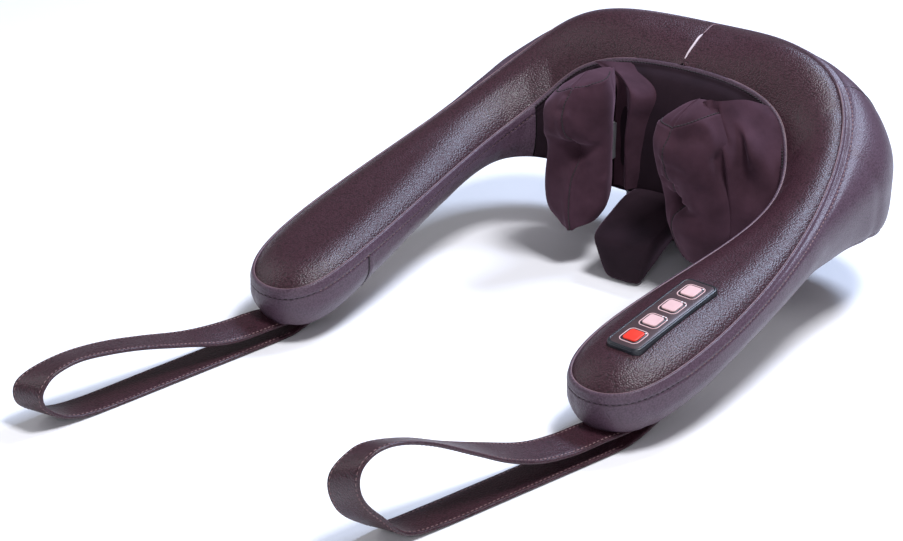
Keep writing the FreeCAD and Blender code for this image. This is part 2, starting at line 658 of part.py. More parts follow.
def strap_loop(outline):
    """A flat band folded into a teardrop loop, drawn along -Y from its sewn line."""
    centre_out = [V(-STRAP_WIDTH / 2.0, -s, z) for s, z in outline]
    count = len(outline)
    inner = []
    for k in range(FIRST_OPEN, count - 1):
        before, here, after = outline[k - 1], outline[k], outline[(k + 1) % count]
        first = unit_normal(after, here)
        second = unit_normal(here, before)
        bend = 1.0 + first[0] * second[0] + first[1] * second[1]
        s = here[0] + STRAP_THICK * (first[0] + second[0]) / bend
        z = here[1] + STRAP_THICK * (first[1] + second[1]) / bend
        inner.append(V(-STRAP_WIDTH / 2.0, -s, z))
    inner.append(V(-STRAP_WIDTH / 2.0, -outline[1][0], outline[-1][1] + STRAP_THICK))
    across = V(STRAP_WIDTH, 0, 0)
    band = Part.Face(wire(centre_out)).extrude(across)
    band = band.cut(Part.Face(wire(inner)).extrude(across))
    fold = rod(STRAP_THICK, V(-STRAP_WIDTH / 2.0, 0, PIVOT_Z), V(1, 0, 0), STRAP_WIDTH)
    return band.fuse(fold).removeSplitter()


def strap_anchor():
    """The strap's fixed end, sewn along the pod's underside and resting on the floor."""
    half = STRAP_WIDTH / 2.0
    side = [V(-half, STRAP_GAP, FLOOR), V(-half, 24.0, FLOOR), V(-half, 52.0, 14.0),
            V(-half, 52.0, 19.0), V(-half, 13.0, 8.6), V(-half, STRAP_GAP, 7.6)]
    return Part.Face(wire(side)).extrude(V(STRAP_WIDTH, 0, 0))


def make_straps():
    parts = {}
    anchors = []
    for name, (x, yaw, outline) in STRAPS.items():
        loop = strap_loop(outline)
        anchor = strap_anchor()
        for shape in (loop, anchor):
            shape.rotate(V(0, 0, 0), V(0, 0, 1), -yaw)
            shape.translate(V(x, PIVOT_Y, 0))
        parts["hand_strap_" + name] = loop
        anchors.append(anchor)
    parts["strap_anchors"] = Part.makeCompound(anchors)
    return parts


# ================= wiring =================

def make_wiring():
    route = LOOM + flip(LOOM)[-2::-1]
    pieces = []
    for a, b in zip(route[:-1], route[1:]):
        pieces.append(rod(LOOM_R, a, b - a, (b - a).Length))
        pieces.append(Part.makeSphere(LOOM_R, b))
    return {"wiring_loom": pieces[0].multiFuse(pieces[1:-1]).removeSplitter()}


def main():
    os.makedirs("parts", exist_ok=True)
    parts = {}
    for group in (make_collar, make_base, make_drive, make_panel, make_power, make_straps, make_wiring):
        parts.update(group())
    whole = FreeCAD.BoundBox()
    for name, shape in parts.items():
        shape.translate(ORIGIN)
        shape.exportStep("parts/" + name + ".step")
        whole.add(shape.BoundBox)
        print(name, "solids", len(shape.Solids), "valid", shape.isValid(), "volume", round(shape.Volume))
    print(len(parts), "nodes", whole)


main()
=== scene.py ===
import math

import bmesh
import bpy
import numpy as np
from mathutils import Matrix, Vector, noise


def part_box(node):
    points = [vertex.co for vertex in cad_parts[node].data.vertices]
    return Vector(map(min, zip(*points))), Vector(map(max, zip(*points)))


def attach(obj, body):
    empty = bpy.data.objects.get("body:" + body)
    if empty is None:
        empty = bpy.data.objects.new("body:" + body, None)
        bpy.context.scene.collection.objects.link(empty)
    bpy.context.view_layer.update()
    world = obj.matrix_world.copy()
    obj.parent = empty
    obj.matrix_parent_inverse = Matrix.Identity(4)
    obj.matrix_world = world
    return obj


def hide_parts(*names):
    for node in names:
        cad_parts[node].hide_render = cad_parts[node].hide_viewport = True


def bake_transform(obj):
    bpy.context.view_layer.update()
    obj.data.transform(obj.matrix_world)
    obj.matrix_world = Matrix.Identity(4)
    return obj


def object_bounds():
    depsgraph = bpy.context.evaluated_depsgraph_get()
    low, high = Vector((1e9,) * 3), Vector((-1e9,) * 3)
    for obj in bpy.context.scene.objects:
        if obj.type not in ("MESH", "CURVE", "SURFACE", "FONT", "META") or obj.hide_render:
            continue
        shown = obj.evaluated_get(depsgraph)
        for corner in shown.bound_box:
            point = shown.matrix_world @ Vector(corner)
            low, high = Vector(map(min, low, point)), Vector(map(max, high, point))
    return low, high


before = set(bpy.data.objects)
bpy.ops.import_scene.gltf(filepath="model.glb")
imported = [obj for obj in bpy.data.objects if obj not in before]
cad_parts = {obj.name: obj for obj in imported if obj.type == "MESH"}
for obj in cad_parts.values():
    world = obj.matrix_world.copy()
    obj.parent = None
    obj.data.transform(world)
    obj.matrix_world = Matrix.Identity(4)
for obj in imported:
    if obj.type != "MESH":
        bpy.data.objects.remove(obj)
cad_low, cad_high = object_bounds()

# Shapes are written in the nape frame, in millimetres: X = 0 is the centre seam, +Y is the
# nape, -Y is where the hand straps lie.  place() turns them into metres in the shared frame,
# whose offset is read from the drive shaft.
SHAFT_MM = np.array([0.0, 128.0, 86.0])
shaft_low, shaft_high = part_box("drive_shaft")
SHAFT_AT = (np.array(shaft_low) + np.array(shaft_high)) / 2.0
ORIGIN = SHAFT_AT * 1000.0 - SHAFT_MM
RIGHT, LEFT = 1, -1
SIDE_NAMES = {RIGHT: "right", LEFT: "left"}


# ================= small geometry tools =================

def place(points):
    """Nape-frame millimetres to metres in the shared frame."""
    return (np.asarray(points, float) + ORIGIN) / 1000.0


def lerp(a, b, share):
    return a + (b - a) * share


def bump_curve(value, centre, width):
    """A smooth hill of height 1."""
    return np.exp(-((value - centre) / width) ** 2)


def step_curve(value, start, end):
    """A smooth rise from 0 at start to 1 at end."""
    share = np.clip((value - start) / (end - start), 0.0, 1.0)
    return share * share * (3.0 - 2.0 * share)


def b_spline(controls, count):
    """Points of a clamped uniform cubic B-spline, and the parameter of each."""
    controls = np.asarray(controls, float)
    n = len(controls)
    knots = np.concatenate([np.zeros(3), np.linspace(0.0, 1.0, n - 2), np.ones(3)])
    u = np.linspace(0.0, 1.0, count)
    u_inside = np.minimum(u, 1.0 - 1e-9)
    basis = np.zeros((count, n + 3))
    for k in range(n + 3):
        basis[:, k] = (u_inside >= knots[k]) & (u_inside < knots[k + 1])
    for degree in (1, 2, 3):
        for k in range(n + 3 - degree):
            after, far = knots[k + 1], knots[k + degree + 1]
            span = knots[k + degree] - knots[k]
            rising = (u_inside - knots[k]) / span * basis[:, k] if span > 0 else 0.0
            falling = 0.0
            if far > after:
                falling = (far - u_inside) / (far - after) * basis[:, k + 1]
            basis[:, k] = rising + falling
    return basis[:, :n] @ controls, u


def arc_lengths(points):
    steps = np.linalg.norm(np.diff(points, axis=0), axis=1)
    return np.concatenate([[0.0], np.cumsum(steps)])


def interp_points(wanted, along, points):
    """Points of a line at the wanted distances; along holds the distance of each of its points."""
    return np.column_stack([np.interp(wanted, along, points[:, k]) for k in range(points.shape[1])])


def resample(points, count):
    """The same line with evenly spaced points."""
    points = np.asarray(points, float)
    along = arc_lengths(points)
    wanted = np.linspace(0.0, along[-1], count)
    return interp_points(wanted, along, points)


def through(points, count):
    """A smooth Catmull-Rom curve through every point, evenly spaced."""
    points = np.asarray(points, float)
    first = 2.0 * points[0] - points[1]
    last = 2.0 * points[-1] - points[-2]
    p = np.vstack([first, points, last])
    share = np.linspace(0.0, 1.0, 24, endpoint=False)[:, None]
    runs = []
    for k in range(len(points) - 1):
        a, b, c, d = p[k], p[k + 1], p[k + 2], p[k + 3]
        square = (2.0 * a - 5.0 * b + 4.0 * c - d) * share ** 2
        cube = (3.0 * b - a - 3.0 * c + d) * share ** 3
        runs.append(0.5 * (2.0 * b + (c - a) * share + square + cube))
    runs.append(points[-1:])
    return resample(np.vstack(runs), count)


def smooth_rows(values, sigma):
    """Gaussian smoothing along axis 0, with the ends mirrored."""
    reach = int(3 * sigma)
    kernel = np.exp(-0.5 * (np.arange(-reach, reach + 1) / sigma) ** 2)
    kernel /= kernel.sum()
    padded = np.concatenate([values[reach:0:-1], values, values[-2:-reach - 2:-1]])
    columns = [np.convolve(padded[:, k], kernel, mode="valid") for k in range(values.shape[1])]
    return np.column_stack(columns)


def tangents(points):
    steps = np.gradient(points, axis=0)
    return steps / np.linalg.norm(steps, axis=1)[:, None]


def rough_noise(points, scale, seed=0.0):
    """Smooth noise in -1..1 at each point; scale is the size of its lumps in mm."""
    offset = Vector((seed * 17.3, seed * 5.1, seed * 9.7))
    return np.array([noise.noise(Vector(p) / scale + offset) for p in np.asarray(points)])


def grid_faces(rows, columns, wrap_columns=False):
    faces = []
    last = columns if wrap_columns else columns - 1
    for r in range(rows - 1):
        for c in range(last):
            d = (c + 1) % columns
            low, high = r * columns, (r + 1) * columns
            faces.append((low + c, low + d, high + d, high + c))
    return faces


WELD_DISTANCE = 0.00002


def weld(piece, distance):
    """Merges points that lie closer than distance, in metres."""
    work = bmesh.new()
    work.from_mesh(piece.data)
    bmesh.ops.remove_doubles(work, verts=work.verts, dist=distance)
    bmesh.ops.dissolve_degenerate(work, edges=work.edges, dist=distance)
    work.to_mesh(piece.data)
    work.free()


def make_mesh(name, points_mm, faces, flipped=False):
    """An object from nape-frame millimetres, smooth shaded, with doubled points merged."""
    if flipped:
        faces = [face[::-1] for face in faces]
    mesh = bpy.data.meshes.new(name)
    mesh.from_pydata(place(points_mm).tolist(), [], faces)
    mesh.validate()
    mesh.update()
    piece = bpy.data.objects.new(name, mesh)
    bpy.context.scene.collection.objects.link(piece)
    weld(piece, WELD_DISTANCE)
    mesh.shade_smooth()
    return piece


def grid_mesh(name, grid, wrap_columns=False, flipped=False):
    """A mesh from an array of rows x columns x 3, in nape-frame millimetres."""
    rows, columns = grid.shape[:2]
    return make_mesh(name, grid.reshape(-1, 3), grid_faces(rows, columns, wrap_columns), flipped)


def grid_normals(grid):
    """Unit normals of a grid of points."""
    normal = np.cross(np.gradient(grid, axis=0), np.gradient(grid, axis=1))
    length = np.linalg.norm(normal, axis=2, keepdims=True)
    return normal / np.maximum(length, 1e-9)


def paint(piece, material):
    """Gives a piece one of the MATERIALS by name."""
    piece.data.materials.clear()
    piece.data.materials.append(MATERIALS[material])


def finish_piece(piece, material, body="root"):
    """A piece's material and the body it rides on."""
    paint(piece, material)
    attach(piece, body)
    return piece


# ================= materials =================

def add(nodes, kind, **values):
    node = nodes.new(kind)
    for name, value in values.items():
        setattr(node, name, value)
    return node


COAT_ROUGHNESS = 0.25
SHEEN_ROUGHNESS = 0.45
SHEEN_TINT = (0.42, 0.26, 0.36, 1.0)


class Surface:
    """A principled shader with procedural colour, roughness and bump."""

    def __init__(self, name, roughness, specular=0.5, metallic=0.0, coat=0.0, sheen=0.0):
        self.material = bpy.data.materials.new(name)
        self.material.use_nodes = True
        self.nodes = self.material.node_tree.nodes
        self.links = self.material.node_tree.links
        self.shader = self.nodes["Principled BSDF"]
        values = {
            "Roughness": roughness, "Specular IOR Level": specular, "Metallic": metallic,
            "Coat Weight": coat, "Coat Roughness": COAT_ROUGHNESS,
            "Sheen Weight": sheen, "Sheen Roughness": SHEEN_ROUGHNESS, "Sheen Tint": SHEEN_TINT,
        }
        for socket, value in values.items():
            self.shader.inputs[socket].default_value = value
        self.where = self.nodes.new("ShaderNodeTexCoord").outputs["Object"]
        self.normal = None

    def noise(self, size, detail=3.0, stretch=None):
        """A noise pattern whose lumps are about size metres."""
        texture = add(self.nodes, "ShaderNodeTexNoise")
        texture.inputs["Scale"].default_value = 1.0 / size
        texture.inputs["Detail"].default_value = detail
        self.feed(texture, stretch)
        return texture.outputs["Fac"]

    def cells(self, size, feature="F1"):
        """A cell pattern whose cells are about size metres."""
        texture = add(self.nodes, "ShaderNodeTexVoronoi", feature=feature)
        texture.inputs["Scale"].default_value = 1.0 / size
        self.feed(texture, None)
        return texture.outputs["Distance"]

    def feed(self, texture, stretch):
        if stretch is None:
            self.links.new(self.where, texture.inputs["Vector"])
            return
        mapping = self.nodes.new("ShaderNodeMapping")
        mapping.inputs["Scale"].default_value = stretch
        self.links.new(self.where, mapping.inputs["Vector"])
        self.links.new(mapping.outputs["Vector"], texture.inputs["Vector"])

    def colour(self, pattern, dark, light, low=0.3, high=0.7):
        ramp = self.nodes.new("ShaderNodeValToRGB")
        ramp.color_ramp.elements[0].position = low
        ramp.color_ramp.elements[1].position = high
        ramp.color_ramp.elements[0].color = (*dark, 1.0)
        ramp.color_ramp.elements[1].color = (*light, 1.0)
        self.links.new(pattern, ramp.inputs["Fac"])
        self.links.new(ramp.outputs["Color"], self.shader.inputs["Base Color"])

    def roughness(self, pattern, low, high):
        span = self.nodes.new("ShaderNodeMapRange")
        span.inputs["To Min"].default_value = low
        span.inputs["To Max"].default_value = high
        self.links.new(pattern, span.inputs["Value"])
        self.links.new(span.outputs["Result"], self.shader.inputs["Roughness"])

    def bump(self, pattern, height, strength=1.0, inverted=False):
        """Adds relief of that height in metres on top of any relief added before."""
        node = add(self.nodes, "ShaderNodeBump", invert=inverted)
        node.inputs["Distance"].default_value = height
        node.inputs["Strength"].default_value = strength
        self.links.new(pattern, node.inputs["Height"])
        if self.normal is not None:
            self.links.new(self.normal, node.inputs["Normal"])
        self.normal = node.outputs["Normal"]
        self.links.new(self.normal, self.shader.inputs["Normal"])


def leather(name, dark, light, grain, relief, roughness):
    """Pebble-grain synthetic leather."""
    surface = Surface(name, roughness, specular=0.42)
    # Light pebble centres and darker cell edges: the leather's grain tone, with painted shade in the
    # creases between the pebbles.
    surface.colour(surface.cells(grain), light, dark, 0.25, 0.85)
    surface.roughness(surface.noise(0.012, 3.0), roughness - 0.06, roughness + 0.08)
    surface.bump(surface.noise(0.012, 2.0), 0.0001, 0.3)
    surface.bump(surface.cells(grain), relief, 0.9, inverted=True)
    return surface.material


def fabric(name, dark, light):
    """A matte stretch knit."""
    surface = Surface(name, 0.9, specular=0.15, sheen=0.25)
    surface.colour(surface.noise(0.02, 5.0), dark, light)
    surface.bump(surface.noise(0.01, 2.0), 0.0005, 0.4)
    surface.bump(surface.noise(0.0007, 3.0), 0.00010, 0.5)
    return surface.material


def plastic(name, dark, light, roughness, coat=0.0, relief=0.00003):
    surface = Surface(name, roughness, coat=coat)
    surface.colour(surface.noise(0.012, 4.0), dark, light)
    surface.roughness(surface.noise(0.003, 2.0), roughness * 0.85, min(1.0, roughness * 1.2))
    surface.bump(surface.noise(0.0007, 2.0), relief, 0.5)
    return surface.material


def metal(name, dark, light, roughness, stretch=(1.0, 14.0, 14.0)):
    """Turned or ground metal with fine lines."""
    surface = Surface(name, roughness, metallic=1.0)
    surface.colour(surface.noise(0.006, 4.0), dark, light)
    lines = surface.noise(0.004, 3.0, stretch)
    surface.roughness(lines, roughness * 0.7, roughness * 1.3)
    surface.bump(lines, 0.00003, 0.4)
    return surface.material


def foam(name, dark, light):
    surface = Surface(name, 0.95, specular=0.2)
    surface.colour(surface.noise(0.006, 4.0), dark, light)
    surface.bump(surface.cells(0.0012), 0.0004, 0.8)
    return surface.material


def board(name, mask, track):
    """Solder mask with pale tracks."""
    surface = Surface(name, 0.35, coat=0.3)
    tracks = surface.cells(0.004, "DISTANCE_TO_EDGE")
    surface.colour(tracks, track, mask, 0.02, 0.08)
    surface.bump(tracks, 0.00005, 0.4)
    return surface.material


# Every material by the name of its slot, and those of threads, of the pale tubes that paint
# highlights on the rim and centre seam, and of the darker cloth that paints shade: its kind, its
# dark and light colour, then what that kind takes.
RECIPES = {
    "leather": (leather, (0.018, 0.0052, 0.0085), (0.047, 0.0148, 0.0230), 0.0013, 0.00030, 0.40),
    # The same leather in a lighter, more lavender tone: painted sheen, the reflection of the pale floor
    # and front light on the side bands.
    "leather_band": (leather, (0.050, 0.028, 0.042), (0.084, 0.049, 0.072), 0.0012, 0.00022, 0.42),
    "thread_dark": (plastic, (0.008, 0.004, 0.006), (0.018, 0.010, 0.012), 0.7),
    "thread_pale": (plastic, (0.15, 0.085, 0.09), (0.26, 0.16, 0.16), 0.65),
    # Pale pinkish tone of the painted highlight lines on the rim crest and the back half of the centre
    # seam.
    "rim_highlight": (plastic, (0.105, 0.058, 0.068), (0.175, 0.102, 0.116), 0.45),
    # Pale tone of the tube on the centre seam near the neck: a painted highlight.
    "seam_piping": (plastic, (0.42, 0.34, 0.36), (0.58, 0.48, 0.50), 0.5),
    "stretch_fabric": (fabric, (0.032, 0.0130, 0.020), (0.056, 0.025, 0.037)),
    # A darker copy of stretch_fabric: painted shade for the inner wall and the nape tab, which lie in
    # shadow.
    "painted_shade_fabric": (fabric, (0.010, 0.0045, 0.0075), (0.017, 0.008, 0.0125)),
    "foam": (foam, (0.42, 0.40, 0.34), (0.56, 0.54, 0.48)),
    "dark_plastic": (plastic, (0.014, 0.012, 0.012), (0.024, 0.021, 0.021), 0.55, 0.0, 0.00012),
    "grey_plastic": (plastic, (0.22, 0.22, 0.23), (0.30, 0.30, 0.31), 0.5),
    "gloss_black": (plastic, (0.004, 0.005, 0.007), (0.010, 0.012, 0.018), 0.38, 0.15),
    "panel_film": (plastic, (0.048, 0.028, 0.032), (0.064, 0.039, 0.043), 0.38, 0.0, 0.00006),
    "key_red": (plastic, (0.66, 0.030, 0.014), (0.76, 0.042, 0.020), 0.42),
    "key_pale": (plastic, (0.56, 0.36, 0.36), (0.64, 0.43, 0.43), 0.45),
    "led_lens": (plastic, (0.75, 0.78, 0.82), (0.92, 0.94, 0.96), 0.2, 0.5),
    "steel": (metal, (0.42, 0.42, 0.44), (0.62, 0.62, 0.64), 0.28),
    "motor_can": (metal, (0.36, 0.37, 0.38), (0.5, 0.5, 0.52), 0.4, (14.0, 14.0, 1.0)),
    "brass": (metal, (0.56, 0.38, 0.13), (0.74, 0.54, 0.22), 0.3),
    "silicone": (plastic, (0.20, 0.035, 0.025), (0.30, 0.06, 0.04), 0.6, 0.0, 0.0001),
    "rubber_foot": (plastic, (0.010, 0.010, 0.010), (0.020, 0.020, 0.020), 0.85, 0.0, 0.0002),
    "circuit_board": (board, (0.012, 0.1, 0.04), (0.16, 0.3, 0.14)),
    "battery_wrap": (plastic, (0.03, 0.11, 0.34), (0.05, 0.16, 0.44), 0.3, 0.3),
    "wire_sleeve": (plastic, (0.012, 0.012, 0.012), (0.026, 0.026, 0.026), 0.7, 0.0, 0.0003),
    "heater_metal": (metal, (0.55, 0.55, 0.56), (0.74, 0.74, 0.75), 0.35),
}
MATERIALS = {name: kind(name, *values) for name, (kind, *values) in RECIPES.items()}


# ================= the control panel's place =================

PANEL_YAW = math.radians(-5.3)
PANEL_PITCH = math.radians(11.2)
PANEL_CENTRE = np.array([144.5, -131.0, 69.2])
PANEL_LENGTH = 90.0
PANEL_WIDTH = 28.5
KEY_PITCH = 20.5
KEY_SIZE = 11.6
KEY_NAMES = ["key_power", "key_mode", "key_speed", "key_heat"]


def panel_directions():
    """The panel's directions across, along and up, in the nape frame."""
    across = np.array([math.cos(PANEL_YAW), math.sin(PANEL_YAW), 0.0])
    level = np.array([-math.sin(PANEL_YAW), math.cos(PANEL_YAW), 0.0])
    along = level * math.cos(PANEL_PITCH) + np.array([0.0, 0.0, math.sin(PANEL_PITCH)])
    return across, along, np.cross(across, along)


def panel_coordinates(points):
    """How far each nape-frame point lies across and along the panel."""
    across, along = panel_directions()[:2]
    return (points - PANEL_CENTRE) @ across, (points - PANEL_CENTRE) @ along


def on_panel(points):
    """Panel-plane millimetres (across, along, up) to the nape frame."""
    across, along, up = panel_directions()
    points = np.asarray(points, float)
    level = PANEL_CENTRE + points[..., :1] * across + points[..., 1:2] * along
    return level + points[..., 2:3] * up


# ================= the collar's seam loop and side bands =================

# The top seam of the right half, as control points of a cubic B-spline: round the outside
# from the centre seam to the arm's tip, then back along the inside to the centre seam.
SEAM_CONTROLS = [
    (0, 170, 167), (24, 170, 167), (65, 149, 175), (114, 141, 165), (143, 117, 137), (167, 48, 101),
    (184, -56, 71), (183, -163, 50), (160, -207, 37), (110, -204, 38), (101, -154, 53),
    (115, -53, 68), (128, 44, 83), (107, 97, 110), (80, 115, 148), (0, 115, 148),
]
# Along that loop: parameter, bulge (out, height), foot (out, height).
BANDS = [
    (0.0, 23, 108, 11, 50), (0.0585, 27, 108, 15, 50), (0.1195, 36, 104, 25, 50),
    (0.1795, 42, 98, 32, 51), (0.2395, 37, 92, 27, 53), (0.28, 22, 87, 9, 55),
    (0.32, 10, 78, -5, 51), (0.36, 6, 64, -10, 42), (0.3995, 4, 53, -11, 33),
    (0.44, 4, 40, -12, 20), (0.4755, 3, 30, -13, 10), (0.5175, 2, 26, -9, 9),
    (0.554, 1, 27, -6, 10), (0.585, 1, 27, -6, 10), (0.6275, 2, 26, -9, 9),
    (0.6705, 2, 30, -11, 11), (0.7115, 2, 41, -9, 24), (0.758, 2, 54, -6, 40),
    (0.7975, 1, 64, -5, 51), (0.8345, 1, 72, -5, 60.5), (0.868, 1, 76, -5, 63),
    (0.9005, 3, 80, -3, 60), (0.9375, 8, 86, 4, 54), (0.9605, 16, 92, 14, 49),
    (0.9825, 22, 98, 20, 46), (1.0, 22, 100, 20, 45),
]
# Chords across the top panel: parameter of the outer end and of the inner end.
CHORDS = [(0.0, 1.0), (0.0585, 0.9825), (0.1195, 0.9605), (0.1795, 0.9375), (0.2395, 0.9005),
          (0.28, 0.868), (0.32, 0.8345), (0.36, 0.7975), (0.3995, 0.758), (0.44, 0.7115),
          (0.4755, 0.6705), (0.5175, 0.6275), (0.548, 0.597), (0.572, 0.572)]
# Parameters of the arm's tip, the two upright seams, the underside's inner end and the left
# band's joint.
TIP_AT = 0.572
BACK_SEAM = 0.1795
WALL_SEAM = 0.9005
UNDER_END = 0.9375
JOIN_AT = 0.704
# Millimetres: spacing of the sections, height of the dome and how far in it is full, the rim
# roll, the dome's rise under the panel, the tuck behind the rim, and the stitches below it.
SEAM_STEP = 1.5
CROWN = 9.8
CROWN_REACH = 25.0
LIP = 1.4
PANEL_SEAT = 2.6
GROOVE = 3.0
SEAM_DROP = 5.0
# Rows of a band section, counted from the tuck: all of them, then single ones.
BAND_ROWS = 44
TUCK_ROW = 1
RIM_ROW = 2
SECOND_ROW = 11
LOWER_ROW = 43
TOP_SECTIONS = 330
TOP_COLUMNS = 57
UNDER_COLUMNS = 25
BACK_SECTIONS = 60
ARM_SECTIONS = 180
SEAT_MARGIN = 2.0
SEAT_DEPTH = 5.0

fine_seam, fine_parameter = b_spline(SEAM_CONTROLS, 4000)
fine_along = arc_lengths(fine_seam)
SEAM_COUNT = int(fine_along[-1] / SEAM_STEP)
seam_along = np.linspace(0.0, fine_along[-1], SEAM_COUNT)
seam_s = np.interp(seam_along, fine_along, fine_parameter)
seam = interp_points(seam_along, fine_along, fine_seam)
seam_tangent = tangents(seam)
seam_out = np.column_stack([-seam_tangent[:, 1], seam_tangent[:, 0], np.zeros(SEAM_COUNT)])
seam_out /= np.linalg.norm(seam_out, axis=1)[:, None]
band_table = np.array(BANDS, float)
band_shape = interp_points(seam_s, band_table[:, 0], band_table[:, 1:])
band_shape = smooth_rows(band_shape, 9.0 / SEAM_STEP)
# How full the band is below its bulge: 1 behind the neck, less along the arms.
arm_begins = step_curve(seam_s, 0.22, 0.36)
arm_ends = step_curve(seam_s, 0.94, 0.99)
band_fullness = 1.0 - 0.75 * arm_begins * (1.0 - arm_ends)


def on_seam(s):
    """The seam's point at a parameter."""
    return interp_points(s, fine_parameter, fine_seam)


def mirror(points, side):
    return np.asarray(points) * np.array([side, 1.0, 1.0])


def nearest_seam(points):
    """Distance of each point from the seam loop, measured to its straight pieces."""
    loop = seam[::4]
    begin, run = loop[:-1], np.diff(loop, axis=0)
    run_squared = (run ** 2).sum(axis=1)
    nearest = np.full(len(points), np.inf)
    block_size = 2000
    for start in range(0, len(points), block_size):
        offset = points[start:start + block_size, None, :] - begin[None, :, :]
        share = np.clip((offset * run).sum(axis=2) / run_squared, 0.0, 1.0)
        gaps = np.linalg.norm(offset - share[:, :, None] * run, axis=2)
        nearest[start:start + block_size] = gaps.min(axis=1)
    return nearest


# Soft dents where the leather gives at the bends: side, seam parameter, length along the
# seam, depth in mm, and how far from the seam the dent reaches.
TOP_DENTS = [
    (LEFT, 0.922, 0.0065, 2.0, 24.0), (LEFT, 0.897, 0.0060, 1.6, 20.0),
    (LEFT, 0.870, 0.0070, 1.0, 22.0), (LEFT, 0.945, 0.0060, 0.8, 14.0),
    (RIGHT, 0.902, 0.0070, 1.8, 24.0), (RIGHT, 0.868, 0.0060, 1.2, 22.0),
    (RIGHT, 0.935, 0.0060, 1.0, 18.0), (RIGHT, 0.215, 0.0090, 1.4, 20.0),
]
# Creases across the side band: side, seam parameter, width, depth in mm.
BAND_CREASES = [
    (LEFT, 0.885, 0.0060, 0.6), (LEFT, 0.862, 0.0060, 0.4),
    (RIGHT, 0.885, 0.0040, 1.0), (RIGHT, 0.26, 0.0060, 0.8), (RIGHT, 0.60, 0.0050, 0.4),
    (LEFT, 0.54, 0.0050, 0.4), (RIGHT, 0.50, 0.0060, 0.5),
]


def crown_rise(depth):
    """Height of the dome above the seam's chord, for a depth from 0 at the seam to 1."""
    return (1.0 - (1.0 - depth) ** 2.1) ** 0.72 * (CROWN + GROOVE) - GROOVE


def top_panel(side):
    """The domed leather top of one arm, tucked behind the rim, from the centre seam to the tip."""
    chords = np.array(CHORDS)
    along = np.linspace(0.0, 1.0, TOP_SECTIONS)
    key = np.linspace(0.0, 1.0, len(chords))
    pairs = smooth_rows(interp_points(along, key, chords), 6.0)
    s_outer, s_inner = pairs[:, 0], pairs[:, 1]
    s_outer[0], s_inner[0] = 0.0, 1.0
    s_outer[-1] = s_inner[-1] = TIP_AT
    outer, inner = on_seam(s_outer), on_seam(s_inner)
    across = 0.5 - 0.5 * np.cos(np.linspace(0.0, math.pi, TOP_COLUMNS))
    grid = outer[:, None, :] + (inner - outer)[:, None, :] * across[None, :, None]
    s_near = np.where(across[None, :] < 0.5, s_outer[:, None], s_inner[:, None])
    flat = grid.reshape(-1, 3)
    gap = nearest_seam(flat)
    depth = np.clip(gap / CROWN_REACH, 0.0, 1.0)
    rise = crown_rise(depth)
    rise += 0.35 * rough_noise(flat, 26.0, side) * depth
    if side == RIGHT:
        seat = PANEL_SEAT * bump_curve(flat[:, 0], 146.0, 24.0)
        rise += seat * bump_curve(flat[:, 1], -131.0, 58.0) * depth
    for dent_side, s_at, length, deep, reach in TOP_DENTS:
        if dent_side == side:
            slope = bump_curve(s_near.reshape(-1), s_at, length)
            fade = np.clip(1.0 - gap / reach, 0.0, 1.0)
            rise -= deep * slope * fade * np.clip(gap / 4.0, 0.0, 1.0)
    centre = bump_curve(flat[:, 0], 0.0, 2.0)
    rise -= 1.3 * centre * depth
    flat[:, 2] += rise
    if side == RIGHT:
        flat[:, 2] -= SEAT_DEPTH * under_panel(flat)
    return grid_mesh("top_cover_" + SIDE_NAMES[side], mirror(flat.reshape(grid.shape), side),
                     flipped=side == LEFT)


def under_panel(points):
    """1 under the control panel, falling to 0 within its edge."""
    inside = 1.0
    for size, place_at in zip((PANEL_WIDTH, PANEL_LENGTH), panel_coordinates(points)):
        inside = inside * step_curve(size / 2.0 - SEAT_MARGIN - np.abs(place_at), 0.0, SEAT_MARGIN)
    return inside


def band_profile(shape, top, fullness, rows=BAND_ROWS):
    """Distance out and height of the band at one place, from the rolled rim to the foot."""
    bulge, bulge_z, foot, foot_z = shape
    rim = [(-LIP * 1.5, top - GROOVE), (-LIP * 1.25, top - 0.5), (-LIP * 0.75, top + LIP * 0.55),
           (0.0, top + LIP * 0.75), (LIP * 0.55, top + LIP * 0.2), (LIP * 0.85, top - LIP)]
    start = LIP * 0.85
    turn = np.linspace(0.0, 1.0, 120) * math.pi / 2.0
    curve = np.column_stack([start + (bulge - start) * np.sin(turn) ** 1.05,
                             bulge_z + (top - LIP - bulge_z) * np.cos(turn)])
    along = arc_lengths(curve)
    seam_drop = min(SEAM_DROP, 0.5 * along[-1])
    near = SECOND_ROW - len(rim) + 1
    wanted = np.concatenate([np.linspace(0.8, seam_drop, near),
                             np.linspace(seam_drop, along[-1], rows // 2 - near + 1)[1:]])
    shoulder = interp_points(wanted, along, curve)
    turn = np.linspace(0.05, 1.0, rows // 2) * math.pi / 2.0
    drop = np.sin(turn)
    inward = lerp(drop ** 1.6, (1.0 - np.cos(turn)) ** 1.5, fullness)
    under = np.column_stack([bulge + (foot - bulge) * inward,
                             bulge_z + (foot_z - bulge_z) * drop])
    return np.vstack([rim, shoulder, under])


